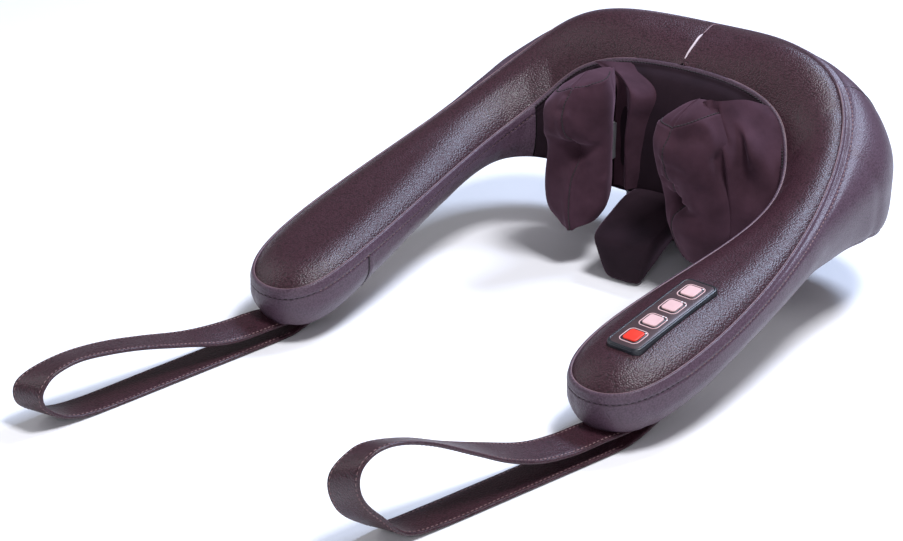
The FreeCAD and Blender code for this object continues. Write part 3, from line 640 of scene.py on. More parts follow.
def band_grid(first, last, side, seams=()):
    """The side band between two seam indices, in rows along the loop."""
    rows = []
    for k in range(first, last + 1):
        profile = band_profile(band_shape[k], seam[k, 2], band_fullness[k])
        rows.append(seam[k] * [1, 1, 0] + seam_out[k] * profile[:, :1] + [0, 0, 1] * profile[:, 1:])
    grid = np.array(rows)
    height = np.linspace(0.0, 1.0, grid.shape[1])[None, :]
    s = seam_s[first:last + 1][:, None]
    flat = grid.reshape(-1, 3)
    body = step_curve(height, 0.12, 0.3) * np.ones_like(s)
    push = 0.45 * rough_noise(flat, 30.0, side + 3).reshape(body.shape) * body
    push -= 0.8 * bump_curve(height, 0.235, 0.018)
    push += 0.35 * bump_curve(height, 0.19, 0.03)
    push -= 0.9 * bump_curve(height, 0.885, 0.016) * bump_curve(s, 0.24, 0.11)
    push += 0.6 * bump_curve(height, 0.93, 0.03) * bump_curve(s, 0.24, 0.11)
    for crease_side, s_at, width, deep in BAND_CREASES:
        if crease_side == side:
            push -= deep * bump_curve(s + 0.01 * (height - 0.5), s_at, width) * body
    for s_at in seams:
        push -= 1.0 * bump_curve(s, s_at, 0.0009) * body
        push += 0.4 * bump_curve(s, s_at + 0.003, 0.002) * body
    normal = grid_normals(grid)
    flow = seam_out[first:last + 1][:, None, :]
    outward = np.sign((normal * flow).sum(axis=2, keepdims=True).mean())
    return mirror(grid + normal * outward * push[:, :, None], side)


def index_at(s):
    """The index of the seam's section nearest to a parameter."""
    return int(np.argmin(np.abs(seam_s - s)))


def underside(side):
    """The flat underside of one arm, between the two feet of its side bands."""
    chords = np.array(CHORDS[3:])
    key = np.linspace(0.0, 1.0, len(chords))
    along = np.linspace(0.0, 1.0, ARM_SECTIONS)
    outer_k = np.interp(along, key, [index_at(s) for s in chords[:, 0]])
    inner_k = np.interp(along, key, [index_at(s) for s in chords[:, 1]])
    inner_k[0] = index_at(UNDER_END)
    grid = ruled_grid(foot_line(outer_k), foot_line(inner_k))
    across = np.linspace(0.0, 1.0, UNDER_COLUMNS)
    belly = 4.0 * across * (1.0 - across)
    grid[:, :, 2] -= 2.0 * belly[None, :]
    waves = rough_noise(grid.reshape(-1, 3), 24.0, side + 9)
    grid[:, :, 2] += 0.3 * waves.reshape(grid.shape[:2])
    return grid_mesh("bottom_cover_" + SIDE_NAMES[side], mirror(grid, side), flipped=side == RIGHT)


def foot_line(positions):
    """The lower edge of the side band at fractional seam indices."""
    index = np.arange(SEAM_COUNT)
    foot = seam * [1, 1, 0] + seam_out * band_shape[:, 2:3] + [0, 0, 1] * band_shape[:, 3:4]
    return interp_points(positions, index, foot)


def ruled_grid(outer, inner):
    """Straight rows from each point of one line to its partner on the other."""
    across = np.linspace(0.0, 1.0, UNDER_COLUMNS)
    return outer[:, None, :] + (inner - outer)[:, None, :] * across[None, :, None]


def back_underside():
    """The underside behind the neck, from bend to bend."""
    half_outer = np.linspace(index_at(BACK_SEAM), 0, BACK_SECTIONS)
    half_inner = np.linspace(index_at(UNDER_END), SEAM_COUNT - 1, BACK_SECTIONS)
    right = (foot_line(half_outer), foot_line(half_inner))
    left = [mirror(line, LEFT)[::-1] for line in right]
    outer = np.vstack([right[0], left[0][1:]])
    inner = np.vstack([right[1], left[1][1:]])
    return grid_mesh("bottom_cover_back", ruled_grid(outer, inner))


def joined_grid(grid):
    """A half grid that starts on the centre plane, joined to its mirror image."""
    left = mirror(grid, LEFT)[:0:-1]
    return np.concatenate([left, grid], axis=0)


# ================= stitches and seam lines =================

# Pitch, length and radius of a stitch in mm.
BAND_THREAD = (4.2, 3.0, 0.42)
RIM_THREAD = (4.6, 3.4, 0.5)
WALL_THREAD = (2.6, 2.0, 0.5)
CLAW_THREAD = (2.6, 1.7, 0.5)
STRAP_THREAD = (3.6, 2.6, 0.34)


def stitch_row(name, line, up, pitch, length, radius, sink=0.3):
    """Thread stitches along a line, each a small bent capsule lying on the surface."""
    along = arc_lengths(line)
    count = max(1, int(along[-1] / pitch))
    points, faces = [], []
    sides, rings = 6, 5
    for k in range(count):
        middle = (k + 0.5) * along[-1] / count
        stations = np.linspace(-0.5, 0.5, rings) * length + middle
        centre = interp_points(stations, along, line)
        lift = interp_points(stations, along, up)
        lift /= np.linalg.norm(lift, axis=1)[:, None]
        arch = np.array([-1.0, 0.3, 0.5, 0.3, -1.0]) * radius - sink * radius
        centre = centre + lift * arch[:, None]
        run = tangents(centre)
        cross = np.cross(run, lift)
        cross /= np.linalg.norm(cross, axis=1)[:, None]
        rise = np.cross(cross, run)
        width = radius * np.array([0.55, 1.0, 1.0, 1.0, 0.55])
        base = len(points)
        for r in range(rings):
            for a in range(sides):
                angle = 2.0 * math.pi * a / sides
                spoke = math.cos(angle) * cross[r] + math.sin(angle) * rise[r]
                points.append(centre[r] + width[r] * spoke)
        for face in grid_faces(rings, sides, True):
            faces.append(tuple(base + v for v in face))
        faces.append(tuple(base + v for v in range(sides))[::-1])
        faces.append(tuple(base + (rings - 1) * sides + v for v in range(sides)))
    return make_mesh(name, np.array(points), faces)


def tube_line(name, line, radius, sides=8):
    """A thin round welt along a line."""
    run = tangents(line)
    cross = np.cross(run, [0.0, 0.0, 1.0])
    cross /= np.maximum(np.linalg.norm(cross, axis=1), 1e-6)[:, None]
    rise = np.cross(cross, run)
    angles = np.linspace(0.0, 2.0 * math.pi, sides, endpoint=False)
    index = np.arange(len(line))
    taper = np.sqrt(np.clip(np.minimum(index, index[::-1]) / 3.0, 0.05, 1.0))
    ring = (np.cos(angles)[None, :, None] * cross[:, None, :]
            + np.sin(angles)[None, :, None] * rise[:, None, :])
    tube = line[:, None, :] + radius * taper[:, None, None] * ring
    return grid_mesh(name, tube, wrap_columns=True)


def band_line(first, last, row, side, lift=0.0):
    """A line along the side band at one row of its profile, with its outward direction."""
    grid = band_grid(first, last, side)
    line = grid[:, row]
    normal = grid_normals(grid)[:, row]
    flow = mirror(seam_out[first:last + 1], side)
    sign = np.sign((normal * flow).sum(axis=1))
    normal = normal * sign[:, None]
    return line + normal * lift, normal


def band_stitches(name, start, end, row, side, material, lift=0.0, thread=BAND_THREAD):
    """A row of stitches along the side band between two seam parameters."""
    line, up = band_line(index_at(start), index_at(end), row, side, lift)
    finish_piece(stitch_row(name, line, up, *thread), material)


def band_tube(name, start, end, row, side, material, lift, radius):
    """A thin tube along the side band between two seam parameters, for the painted highlight line on
    the rim and the painted shadow line in its tuck.
    """
    line = band_line(index_at(start), index_at(end), row, side, lift)[0]
    finish_piece(tube_line(name, line, radius), material)


TIP_START, TIP_END = 0.47, 0.64
SEAM_CLEAR = 0.002


def make_arm_covers(side):
    """The leather of one arm with its piping and stitches."""
    name = SIDE_NAMES[side]
    top = finish_piece(top_panel(side), "leather")
    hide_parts("top_cover_" + name)
    joints = (BACK_SEAM, JOIN_AT) if side == LEFT else (BACK_SEAM,)
    grid = band_grid(index_at(BACK_SEAM), index_at(WALL_SEAM), side, joints[1:])
    band = grid_mesh("side_band_" + name, grid, flipped=side == RIGHT)
    finish_piece(band, "leather_band")
    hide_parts("outer_band_" + name, "inner_band_" + name)
    for s_at in joints:
        k = index_at(s_at)
        upright = band_grid(k - 2, k + 2, side)[2, SECOND_ROW:]
        finish_piece(tube_line("band_joint_%s_%d" % (name, k), upright, 0.4), "thread_dark")
    band_stitches("lower_stitches_" + name, BACK_SEAM + SEAM_CLEAR, 0.34, LOWER_ROW, side,
                  "thread_dark")
    under = finish_piece(underside(side), "leather_band")
    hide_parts("bottom_cover_" + name)
    for start, end, tone in ((BACK_SEAM, TIP_START, "pale"), (TIP_START, TIP_END, "dark"),
                             (TIP_END, WALL_SEAM, "pale")):
        start, end = start + SEAM_CLEAR, end - SEAM_CLEAR
        label = "band_stitches_%s_%s_%d" % (name, tone, index_at(start))
        band_stitches(label, start, end, SECOND_ROW, side, "thread_" + tone)
    # A pale tube on the rim's crest: painted highlight along the rolled edge.
    band_tube("rim_crest_highlight_" + name, BACK_SEAM, 0.985, RIM_ROW, side, "rim_highlight", 0.12, 0.5)
    # A dark tube lifted into the tuck between the top panel and the rim: painted shadow of that groove.
    band_tube("rim_tuck_shadow_" + name, BACK_SEAM, 0.985, TUCK_ROW, side, "thread_dark", 1.0, 0.8)
    band_stitches("rim_stitches_" + name, 0.49, 0.62, TUCK_ROW, side, "thread_pale", 1.4,
                  RIM_THREAD)


def make_collar():
    for side in (RIGHT, LEFT):
        make_arm_covers(side)
    first, last = 0, index_at(BACK_SEAM)
    back = grid_mesh("back_band", joined_grid(band_grid(first, last, RIGHT)), flipped=True)
    finish_piece(back, "leather_band")
    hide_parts("back_band", "nape_foam", "arm_foam", "tip_foam")
    line, up = band_line(first, last, SECOND_ROW, RIGHT)
    row = stitch_row("band_stitches_back", joined_grid(line), joined_grid(up), *BAND_THREAD)
    finish_piece(row, "thread_dark")
    under = finish_piece(back_underside(), "leather_band")
    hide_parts("bottom_cover_back", "nape_under_foam", "arm_under_foam")
    centre_seam()
    wall()


def centre_seam():
    """A pale tube along the joint between the two top panels: a painted highlight on the seam, brighter
    near the neck and dimmer behind.
    """
    share = np.linspace(0.03, 0.97, 50)
    half = len(share) // 2
    inner_y, inner_z = SEAM_CONTROLS[-1][1:]
    outer_y, outer_z = SEAM_CONTROLS[0][1:]
    y = lerp(inner_y, outer_y, share)
    gap = np.minimum(share, 1.0 - share) * math.hypot(outer_y - inner_y, outer_z - inner_z)
    depth = np.clip(gap / CROWN_REACH, 0.0, 1.0)
    z = lerp(inner_z, outer_z, share) + crown_rise(depth)
    line = np.column_stack([0.25 * np.sin(y * 0.35), y, z - 0.9 * depth])
    line[:, 0] -= 0.3
    # Painted highlight on the seam: bright near the neck, dimmer behind.
    finish_piece(tube_line("centre_seam", line[:half + 1], 0.95), "seam_piping")
    finish_piece(tube_line("centre_seam_back", line[half:], 0.6), "rim_highlight")


WALL_RIM = 6


def wall():
    """The inner wall behind the neck: a leather edge above stretch fabric, drawn in the darker fabric
    as painted shade.
    """
    first, last = index_at(WALL_SEAM), SEAM_COUNT - 1
    right = band_grid(first, last, RIGHT)[::-1]
    whole = np.concatenate([band_grid(first, last, LEFT), right[1:]], axis=0)
    finish_piece(grid_mesh("inner_rim", whole[:, :WALL_RIM]), "leather_band")
    edge = whole[:, WALL_RIM]
    inward = np.tile([0.0, -1.0, 0.3], (len(edge), 1))
    stitches = stitch_row("wall_stitches", edge + inward * 0.4, inward, *WALL_THREAD)
    finish_piece(stitches, "thread_dark")
    cloth = whole[:, WALL_RIM - 2:].copy()
    flat = cloth.reshape(-1, 3)
    flat[:, 1] += 1.6
    flat[:, 1] += 1.2 * rough_noise(flat * [1, 1, 0.4], 22.0, 5)
    sheet = grid_mesh("inner_wall_fabric", flat.reshape(cloth.shape))
    # The wall cloth takes the darker fabric: painted shade.
    finish_piece(sheet, "painted_shade_fabric")
    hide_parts("inner_wall_fabric")


# ================= fabric claws =================

# Each claw is a sock of two panels that meet in a front seam.  Rings run from the bottom up,
# and each ring runs from the outer side's rear, round the front seam, to the other rear.
LEFT_CLAW = [
    [(-58, 90, 30), (-68, 70, 28), (-64, 50, 27), (-47, 37, 27), (-34, 55, 35), (-42, 84, 42)],
    [(-64, 92, 45), (-78, 68, 43), (-71, 42, 42), (-47, 35, 44), (-29, 58, 48), (-42, 86, 50)],
    [(-66, 92, 68), (-79, 66, 67), (-72, 40, 67), (-46, 36, 68), (-28, 60, 70), (-42, 86, 70)],
    [(-66, 92, 90), (-78, 66, 88), (-71, 42, 88), (-43, 43, 90), (-28, 60, 92), (-42, 86, 92)],
    [(-66, 92, 108), (-79, 64, 106), (-73, 37, 106), (-48, 29, 108), (-27, 58, 111), (-42, 86, 112)],
    [(-66, 92, 124), (-80, 64, 121), (-74, 38, 121), (-51, 31, 126), (-27, 56, 130), (-42, 88, 132)],
    [(-64, 92, 137), (-76, 68, 131), (-70, 47, 131), (-50, 40, 140), (-31, 56, 146), (-44, 88, 146)],
]
RIGHT_CLAW = [
    [(80, 92, 44), (76, 64, 30), (60, 50, 23), (44, 57, 22), (37, 70, 21), (42, 92, 28)],
    [(84, 90, 56), (81, 58, 46), (62, 41, 42), (41, 44, 43), (30, 60, 44), (38, 92, 45)],
    [(85, 88, 70), (82, 55, 63), (62, 38, 59), (40, 44, 58), (28, 56, 59), (38, 92, 60)],
    [(84, 86, 84), (81, 53, 78), (62, 37, 74), (44, 47, 71), (27, 52, 73), (38, 92, 74)],
    [(82, 84, 100), (78, 51, 97), (62, 33, 95), (40, 33, 93), (26, 46, 94), (38, 92, 94)],
    [(76, 80, 118), (72, 50, 118), (60, 33, 116), (39, 27, 113), (25, 42, 116), (38, 92, 116)],
    [(68, 76, 138), (63, 54, 138), (54, 41, 134), (40, 36, 128), (25, 46, 130), (40, 92, 134)],
]
# The ring point that lies on the front seam, and the rings of the domed ends.
SEAM_POINT = 3
CAP_RINGS = 16


def claw_grid(rings):
    """A smooth surface through the rings, with a crease at the front seam."""
    across = []
    for ring in rings:
        one = through(ring[:SEAM_POINT + 1], 61)
        two = through(ring[SEAM_POINT:], 61)
        across.append(np.vstack([one, two[1:]]))
    across = np.array(across)
    columns = [through(across[:, c], 120) for c in range(across.shape[1])]
    return np.stack(columns, axis=1)


def close_ends(grid, top_centre, top_rise, bottom_centre, bottom_rise):
    """Adds a domed cap above the top ring and another below the bottom ring."""
    ends = []
    for edge, centre, rise in ((grid[0], bottom_centre, -bottom_rise),
                               (grid[-1], top_centre, top_rise)):
        rings = []
        for k in range(1, CAP_RINGS + 1):
            share = k / CAP_RINGS
            ring = centre + (smooth_rows(edge, 1.0 + 9.0 * share) - centre) * (1.0 - share)
            ring[:, 2] += rise * (1.0 - (1.0 - share) ** 2)
            rings.append(ring)
        ends.append(np.array(rings))
    return np.concatenate([ends[0][::-1], grid, ends[1]], axis=0)


def line_dents(points, dents):
    """Depth in mm pressed into the surface along short lines: (start, end, depth, width)."""
    total = np.zeros(len(points))
    for start, end, depth, width in dents:
        start, end = np.array(start, float), np.array(end, float)
        run = end - start
        share = np.clip((points - start) @ run / (run @ run), 0.0, 1.0)
        gap = np.linalg.norm(points - start - share[:, None] * run, axis=1)
        total += depth * np.exp(-(gap / width) ** 2) * (1.0 - 0.5 * share)
    return total


# Dents and, with a negative depth, ridges that the stretched fabric shows.
LEFT_DENTS = [
    ((-43, 43, 90), (-76, 42, 112), 7.5, 5.5), ((-43, 43, 90), (-33, 54, 95), 3.0, 4.0),
    ((-44, 38, 97), (-52, 31, 120), 3.0, 3.0), ((-49, 32, 120), (-36, 46, 100), -2.6, 4.5),
    ((-54, 33, 124), (-74, 44, 118), 3.2, 3.4), ((-62, 34, 108), (-74, 40, 100), -2.4, 4.5),
    ((-31, 56, 66), (-30, 58, 40), -1.8, 4.0), ((-38, 46, 78), (-37, 48, 44), 1.8, 4.0),
    ((-52, 40, 134), (-66, 50, 132), 2.8, 2.6), ((-40, 48, 140), (-34, 55, 128), 1.8, 3.0),
    ((-58, 37, 80), (-60, 40, 50), 1.4, 6.0),
]
RIGHT_DENTS = [
    ((44, 46, 71), (62, 37, 64), 4.6, 4.4), ((44, 46, 71), (34, 50, 84), 3.6, 3.2),
    ((44, 46, 71), (42, 46, 60), 3.6, 3.6), ((52, 39, 73), (54, 38, 76), -3.0, 3.0),
    ((47, 36, 121), (60, 42, 127), 6.5, 6.5), ((63, 46, 133), (68, 50, 112), -3.0, 5.0),
    ((74, 50, 108), (84, 62, 70), 5.0, 6.5), ((36, 34, 104), (54, 30, 98), 2.6, 4.0),
    ((48, 37, 52), (62, 40, 50), -2.0, 6.0), ((66, 40, 84), (64, 42, 60), 2.0, 6.0),
    ((34, 40, 88), (46, 36, 84), 2.4, 3.0),
]


def claw_cover(side, rings, top, bottom, dents):
    """One fabric claw with its front seam, its cap seam and the folds of stretched fabric."""
    grid = close_ends(claw_grid(rings), *top, *bottom)
    shape = grid.shape[:2]
    flat = grid.reshape(-1, 3)
    row, column = np.indices(shape)
    seam_column, cap_row = shape[1] // 2, shape[0] - CAP_RINGS
    from_seam, from_cap = np.abs(column - seam_column), np.abs(row - cap_row)
    normal = grid_normals(grid)
    middle = grid.mean(axis=(0, 1))
    sign = np.sign(((grid - middle) * normal).sum(axis=2).mean())
    push = -line_dents(flat, dents).reshape(shape)
    push += 0.9 * rough_noise(flat, 22.0, side + 20).reshape(shape)
    push += 0.55 * rough_noise(flat * [1, 1, 0.45], 9.0, side + 30).reshape(shape)
    push -= 1.1 * bump_curve(from_seam, 0.0, 1.0) + 1.0 * bump_curve(from_cap, 0.0, 0.9)
    push += 0.6 * bump_curve(from_seam, 3.0, 1.8)
    grid = grid + normal * (sign * push)[:, :, None]
    name = "claw_cover_" + SIDE_NAMES[side]
    body = "knead_" + SIDE_NAMES[side]
    piece = grid_mesh(name, grid, flipped=sign > 0)
    finish_piece(piece, "stretch_fabric", body)
    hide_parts(name)
    outward = normal * sign
    front = np.s_[6:cap_row + 1, seam_column]
    cap_edge = np.s_[cap_row, 6:-12]
    for label, line in (("front", front), ("cap", cap_edge)):
        sewn = stitch_row("claw_%s_stitches_%s" % (label, SIDE_NAMES[side]), grid[line],
                          outward[line], *CLAW_THREAD, sink=-0.4)
        finish_piece(sewn, "thread_dark", body)
        seam_name = "claw_%s_seam_%s" % (label, SIDE_NAMES[side])
        thread = tube_line(seam_name, grid[line] + outward[line] * 0.1, 0.4)
        finish_piece(thread, "thread_dark", body)


def make_claws():
    claw_cover(LEFT, LEFT_CLAW, ((-54, 70, 141), 5.0), ((-48, 80, 36), 2.0), LEFT_DENTS)
    claw_cover(RIGHT, RIGHT_CLAW, ((46, 66, 136), 9.0), ((58, 80, 36), 2.0), RIGHT_DENTS)
    make_sleeves()
    make_tab()


# Pleats of the wall fabric beside the claws: rings from the bottom up, each across the pleat.
LEFT_SLEEVE = [
    [(-43, 90.5, 50), (-38, 92, 50), (-33, 90, 50), (-29, 86, 50), (-26, 92, 50), (-20, 104, 50)],
    [(-43, 90.5, 86), (-36, 96, 86), (-31, 88, 87), (-27, 80, 88), (-23, 88, 87), (-16, 104, 86)],
    [(-43, 90.5, 110), (-36, 95, 111), (-30, 87, 111), (-24, 79, 111), (-19, 88, 110), (-10, 106, 110)],
    [(-45, 92, 134), (-39, 93, 135), (-31, 86, 135), (-23, 80, 133), (-17, 92, 131), (-8, 110, 130)],
    [(-74, 106, 140), (-66, 105, 142), (-58, 105, 143.5), (-50, 107, 144), (-44, 110, 144),
     (-36, 114, 143)],
]
RIGHT_SLEEVE = [
    [(72, 64, 24), (78, 60, 26), (88, 62, 30), (100, 66, 34), (110, 72, 38), (120, 82, 42)],
    [(76, 62, 56), (82, 57, 60), (92, 60, 64), (103, 64, 68), (112, 68, 70), (121, 76, 72)],
    [(75, 60, 84), (81, 55, 86), (91, 68, 88), (105, 73, 89), (110, 78, 91), (119, 76, 92)],
    [(72, 62, 108), (77, 54, 110), (83, 70, 112), (91, 65, 114), (97, 82, 113), (110, 90, 107)],
    [(59, 60, 133), (63, 55, 134), (64, 64, 134), (68, 64, 135), (78, 86, 134), (97, 104, 124)],
    [(50, 62, 144), (55, 61, 147), (58, 63, 147.5), (63, 65, 147), (72, 90, 143), (82, 110, 134)],
]


SLEEVE_ROWS = 90
SLEEVE_COLUMNS = 60


def make_sleeves():
    """The gathered fabric between the inner wall and each claw."""
    for side, rings in ((LEFT, LEFT_SLEEVE), (RIGHT, RIGHT_SLEEVE)):
        across = np.array([through(ring, SLEEVE_COLUMNS) for ring in rings])
        columns = [through(across[:, c], SLEEVE_ROWS) for c in range(SLEEVE_COLUMNS)]
        grid = np.stack(columns, axis=1)
        flat = grid.reshape(-1, 3)
        normal = grid_normals(grid)
        push = 0.8 * rough_noise(flat, 16.0, side + 40).reshape(grid.shape[:2])
        grid = grid + normal * push[:, :, None]
        piece = grid_mesh("claw_sleeve_" + SIDE_NAMES[side], grid)
        finish_piece(piece, "stretch_fabric")


# The tab's outline from the side (Y, Z) and its half width at each point.
TAB_SIDE = [
    (128, 50, 26), (90, 50, 26), (76, 47.5, 26), (60, 41.5, 25.5), (45, 35.5, 25), (37, 31, 24),
    (34.5, 26, 22.5), (35, 18, 20), (36.5, 8, 17), (39, 0, 15), (43, -3.0, 14.5), (52, 2, 15),
    (64, 11, 17), (76, 20, 19), (92, 28, 22), (128, 36, 24),
]
TAB_ROWS = 90
TAB_COLUMNS = 33
TAB_CROWN = 1.6
TAB_INSET = 1.2
TAB_LOWEST = -3.6


def make_tab():
    """The padded tab under the claws that rests on the back of the neck."""
    side = through(TAB_SIDE, TAB_ROWS)
    across = np.linspace(-1.0, 1.0, TAB_COLUMNS)
    edge = np.sign(across) * np.abs(across) ** 0.85
    crown = TAB_CROWN * (1.0 - across ** 4)
    run = tangents(side[:, :2])
    out = np.column_stack([run[:, 1], -run[:, 0]])
    if out[len(out) // 2][0] > 0:
        out = -out
    grid = np.zeros((TAB_ROWS, TAB_COLUMNS, 3))
    grid[:, :, 0] = side[:, 2:3] * edge[None, :]
    for axis in (0, 1):
        push = out[:, axis:axis + 1]
        grid[:, :, axis + 1] = side[:, axis:axis + 1] + push * crown[None, :] - TAB_INSET * push
    grid[:, :, 2] = np.maximum(grid[:, :, 2], TAB_LOWEST)
    faces = grid_faces(TAB_ROWS, TAB_COLUMNS)
    starts = np.arange(TAB_ROWS) * TAB_COLUMNS
    faces.append(tuple(starts.tolist()))
    faces.append(tuple((starts[::-1] + TAB_COLUMNS - 1).tolist()))
    piece = make_mesh("nape_tab", grid.reshape(-1, 3), faces)
    # The tab takes the darker fabric: painted shade, as it lies in shadow under the claws.
    finish_piece(piece, "painted_shade_fabric")
    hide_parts("nape_tab")


# ================= hand straps =================

STRAP_WIDTH = 28.0
STRAP_THICK = 2.4
PIVOT_Y = -178.0
FLOOR_Z = -4.0
# Both edges of each strap from the side, near edge (+X) and far edge (-X): distance from the
# sewn line and height of the one, then of the other.  The upper ply comes first.
UPPER_START = [(-54, 24, -54, 24), (-24, 13, -24, 13), (0, 8, 0, 8)]
LOWER_END = [(110, -2.8, 110, -2.8), (60, -2.8, 60, -2.8), (20, -2.8, 20, -2.8), (0, -1.2, 0, -1.2),
             (-24, 7, -24, 7), (-54, 20, -54, 20)]
LOOP_RIGHT = UPPER_START + [
    (26, 8, 24, 9.5), (53, 8, 50, 10), (81, 12, 77, 14), (109, 22, 110, 25), (137, 37, 143, 37),
    (168, 54, 175, 50), (193, 64, 205, 57), (212, 66, 220, 54), (224, 60, 232, 46),
    (228, 49, 233, 34), (224, 36, 226, 19), (212, 21, 211, 7), (192, 2, 192, -1.6),
    (158, -2.8, 158, -2.8),
] + LOWER_END
LOOP_LEFT = UPPER_START + [
    (24, 7.5, 20, 11.5), (66, 8.5, 52, 14), (106, 19.5, 86, 18), (143, 30, 122, 26),
    (173, 36, 152, 32), (196, 39, 182, 34.5), (215, 36, 207, 33), (224, 29, 225, 28),
    (226, 21, 230, 20), (221, 12, 226, 10), (206, 2, 210, 1.5), (178, -2.8, 180, -2.8),
] + LOWER_END
# Each strap's X at the sewn line, its turn about Z in degrees, and its loop.
STRAPS = {RIGHT: (143.6, 11.0, LOOP_RIGHT), LEFT: (-145.0, 6.7, LOOP_LEFT)}
STRAP_SECTIONS = 420
STITCH_PLACE = 0.82
STITCH_FROM = 6.0


def strap_directions(side):
    """The point above a strap's sewn line, its run away from the arm, and its width direction."""
    x, yaw = STRAPS[side][:2]
    angle = math.radians(-yaw)
    along = np.array([math.sin(angle), -math.cos(angle), 0.0])
    across = np.array([math.cos(angle), math.sin(angle), 0.0])
    return np.array([x, PIVOT_Y, 0.0]), along, across


def strap_frame(side):
    """Middle line, width direction and upward direction of a strap, and how far along each is."""
    hinge, along, across = strap_directions(side)
    edges = through(STRAPS[side][2], STRAP_SECTIONS)
    rise = np.array([0.0, 0.0, 1.0])
    near = hinge + across * STRAP_WIDTH / 2.0 + along * edges[:, :1] + rise * edges[:, 1:2]
    far = hinge - across * STRAP_WIDTH / 2.0 + along * edges[:, 2:3] + rise * edges[:, 3:]
    centre = (near + far) / 2.0
    direction = near - far
    direction /= np.linalg.norm(direction, axis=1)[:, None]
    up = np.cross(direction, tangents(centre))
    up /= np.linalg.norm(up, axis=1)[:, None]
    return centre, direction, up, (edges[:, 0] + edges[:, 2]) / 2.0


def strap_section():
    """Places across the folded band and its half thickness there, grooved at the stitches."""
    v = np.linspace(-1.0, 1.0, 37)
    thick = STRAP_THICK / 2.0 * (1.0 - np.abs(v) ** 14) ** 0.5
    thick += 0.28 * bump_curve(np.abs(v), 0.93, 0.05)
    thick -= 0.30 * bump_curve(np.abs(v), STITCH_PLACE, 0.025)
    thick += 0.22 * (1.0 - v ** 2)
    return v, thick


def make_strap(side):
    centre, direction, up, reach = strap_frame(side)
    v, thick = strap_section()
    top = centre[:, None, :] + direction[:, None, :] * (v * STRAP_WIDTH / 2.0)[None, :, None]
    sag = 0.35 * rough_noise(centre, 28.0, side + 50)[:, None] * (1.0 - np.abs(v))[None, :]
    lift = np.concatenate([sag + thick[None, :], (sag - thick[None, :])[:, ::-1]], axis=1)
    ring = np.concatenate([top, top[:, ::-1]], axis=1) + up[:, None, :] * lift[:, :, None]
    ring[:, :, 2] = np.maximum(ring[:, :, 2], FLOOR_Z)
    name = "hand_strap_" + SIDE_NAMES[side]
    rows, columns = ring.shape[:2]
    faces = grid_faces(rows, columns, True)
    faces.append(tuple(range(columns))[::-1])
    faces.append(tuple((rows - 1) * columns + c for c in range(columns)))
    piece = make_mesh(name, ring.reshape(-1, 3), faces)
    dress_strap(piece, "leather")
    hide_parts(name, "strap_anchors")
    inside = reach > STITCH_FROM
    for surface in (1.0, -1.0):
        for edge in (1.0, -1.0):
            row = centre + direction * (edge * STITCH_PLACE * STRAP_WIDTH / 2.0)
            row = row + up * surface * (STRAP_THICK / 2.0 - 0.1)
            label = "strap_stitches_%s_%d_%d" % (SIDE_NAMES[side], surface > 0, edge > 0)
            stitches = stitch_row(label, row[inside], (up * surface)[inside], *STRAP_THREAD)
            dress_strap(stitches, "thread_pale")


def dress_strap(piece, material):
    """Gives a strap piece its material and bakes its placement into its mesh."""
    paint(piece, material)
    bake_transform(piece)


# ================= control panel =================

def rounded_outline(half_x, half_y, radius, per_corner=9):
    """A rounded rectangle, counter-clockwise."""
    points = []
    x, y = half_x - radius, half_y - radius
    corners = [(x, y, 0.0), (-x, y, 90.0), (-x, -y, 180.0), (x, -y, 270.0)]
    for x, y, start in corners:
        for k in range(per_corner):
            angle = math.radians(start + 90.0 * k / (per_corner - 1))
            points.append((x + radius * math.cos(angle), y + radius * math.sin(angle)))
    return np.array(points)


def stacked(name, half_x, half_y, radius, levels, middle=(0.0, 0.0), lid=True, floor=True):
    """A solid of rounded-rectangle rings; each level is (inset, height)."""
    rings = []
    for inset, height in levels:
        outline = rounded_outline(half_x - inset, half_y - inset, max(0.15, radius - inset))
        flat = np.column_stack([outline + middle, np.full(len(outline), height)])
        rings.append(flat)
    columns = len(rings[0])
    faces = grid_faces(len(rings), columns, True)
    if floor:
        faces.append(tuple(range(columns))[::-1])
    if lid:
        faces.append(tuple((len(rings) - 1) * columns + c for c in range(columns)))
    return make_mesh(name, on_panel(np.vstack(rings)), faces)


def round_edge(radius, top, steps=6):
    """Levels of a rounded upper edge."""
    levels = []
    for k in range(steps + 1):
        turn = math.pi / 2 * k / steps
        levels.append((radius * (1 - math.cos(turn)), top - radius * (1 - math.sin(turn))))
    return levels


PANEL_CORNER = 6.4
BEZEL_WALL = 2.05
FACE_CORNER = 4.4
FACE_TOP = 0.5
KEY_CORNER = 2.4
WELL_MARGIN = 0.9
WELL_CORNER = 3.0
RING_MARGIN = 2.2
RING_CORNER = 4.0
LED_HALF = 0.55
# The white dots beside a key, from its middle: one for each end key, three for the others.
SINGLE_LED = [(5.4, 6.1)]
THREE_LEDS = [(2.6, 7.3), (5.0, 7.3), (7.4, 5.0)]


def make_key(name, y):
    """One key with the dark well it sits in and the pale line round it."""
    half = KEY_SIZE / 2.0
    middle = (0.0, y)
    levels = [(0.0, -1.0), (0.0, 0.9)] + round_edge(0.7, 1.6)
    key = stacked(name, half, half, KEY_CORNER, levels, middle)
    material = "key_red" if name == "key_power" else "key_pale"
    finish_piece(key, material, name)
    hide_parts(name)
    size = half + WELL_MARGIN
    levels = [(0.0, FACE_TOP), (0.0, 0.56), (0.9, 0.56)]
    well = stacked("well_" + name, size, size, WELL_CORNER, levels, middle, floor=False)
    finish_piece(well, "gloss_black")
    size = half + RING_MARGIN
    levels = [(0.0, FACE_TOP), (0.05, 0.66), (0.65, 0.66), (0.7, FACE_TOP)]
    ring = stacked("ring_" + name, size, size, RING_CORNER, levels, middle, lid=False, floor=False)
    finish_piece(ring, "key_pale")


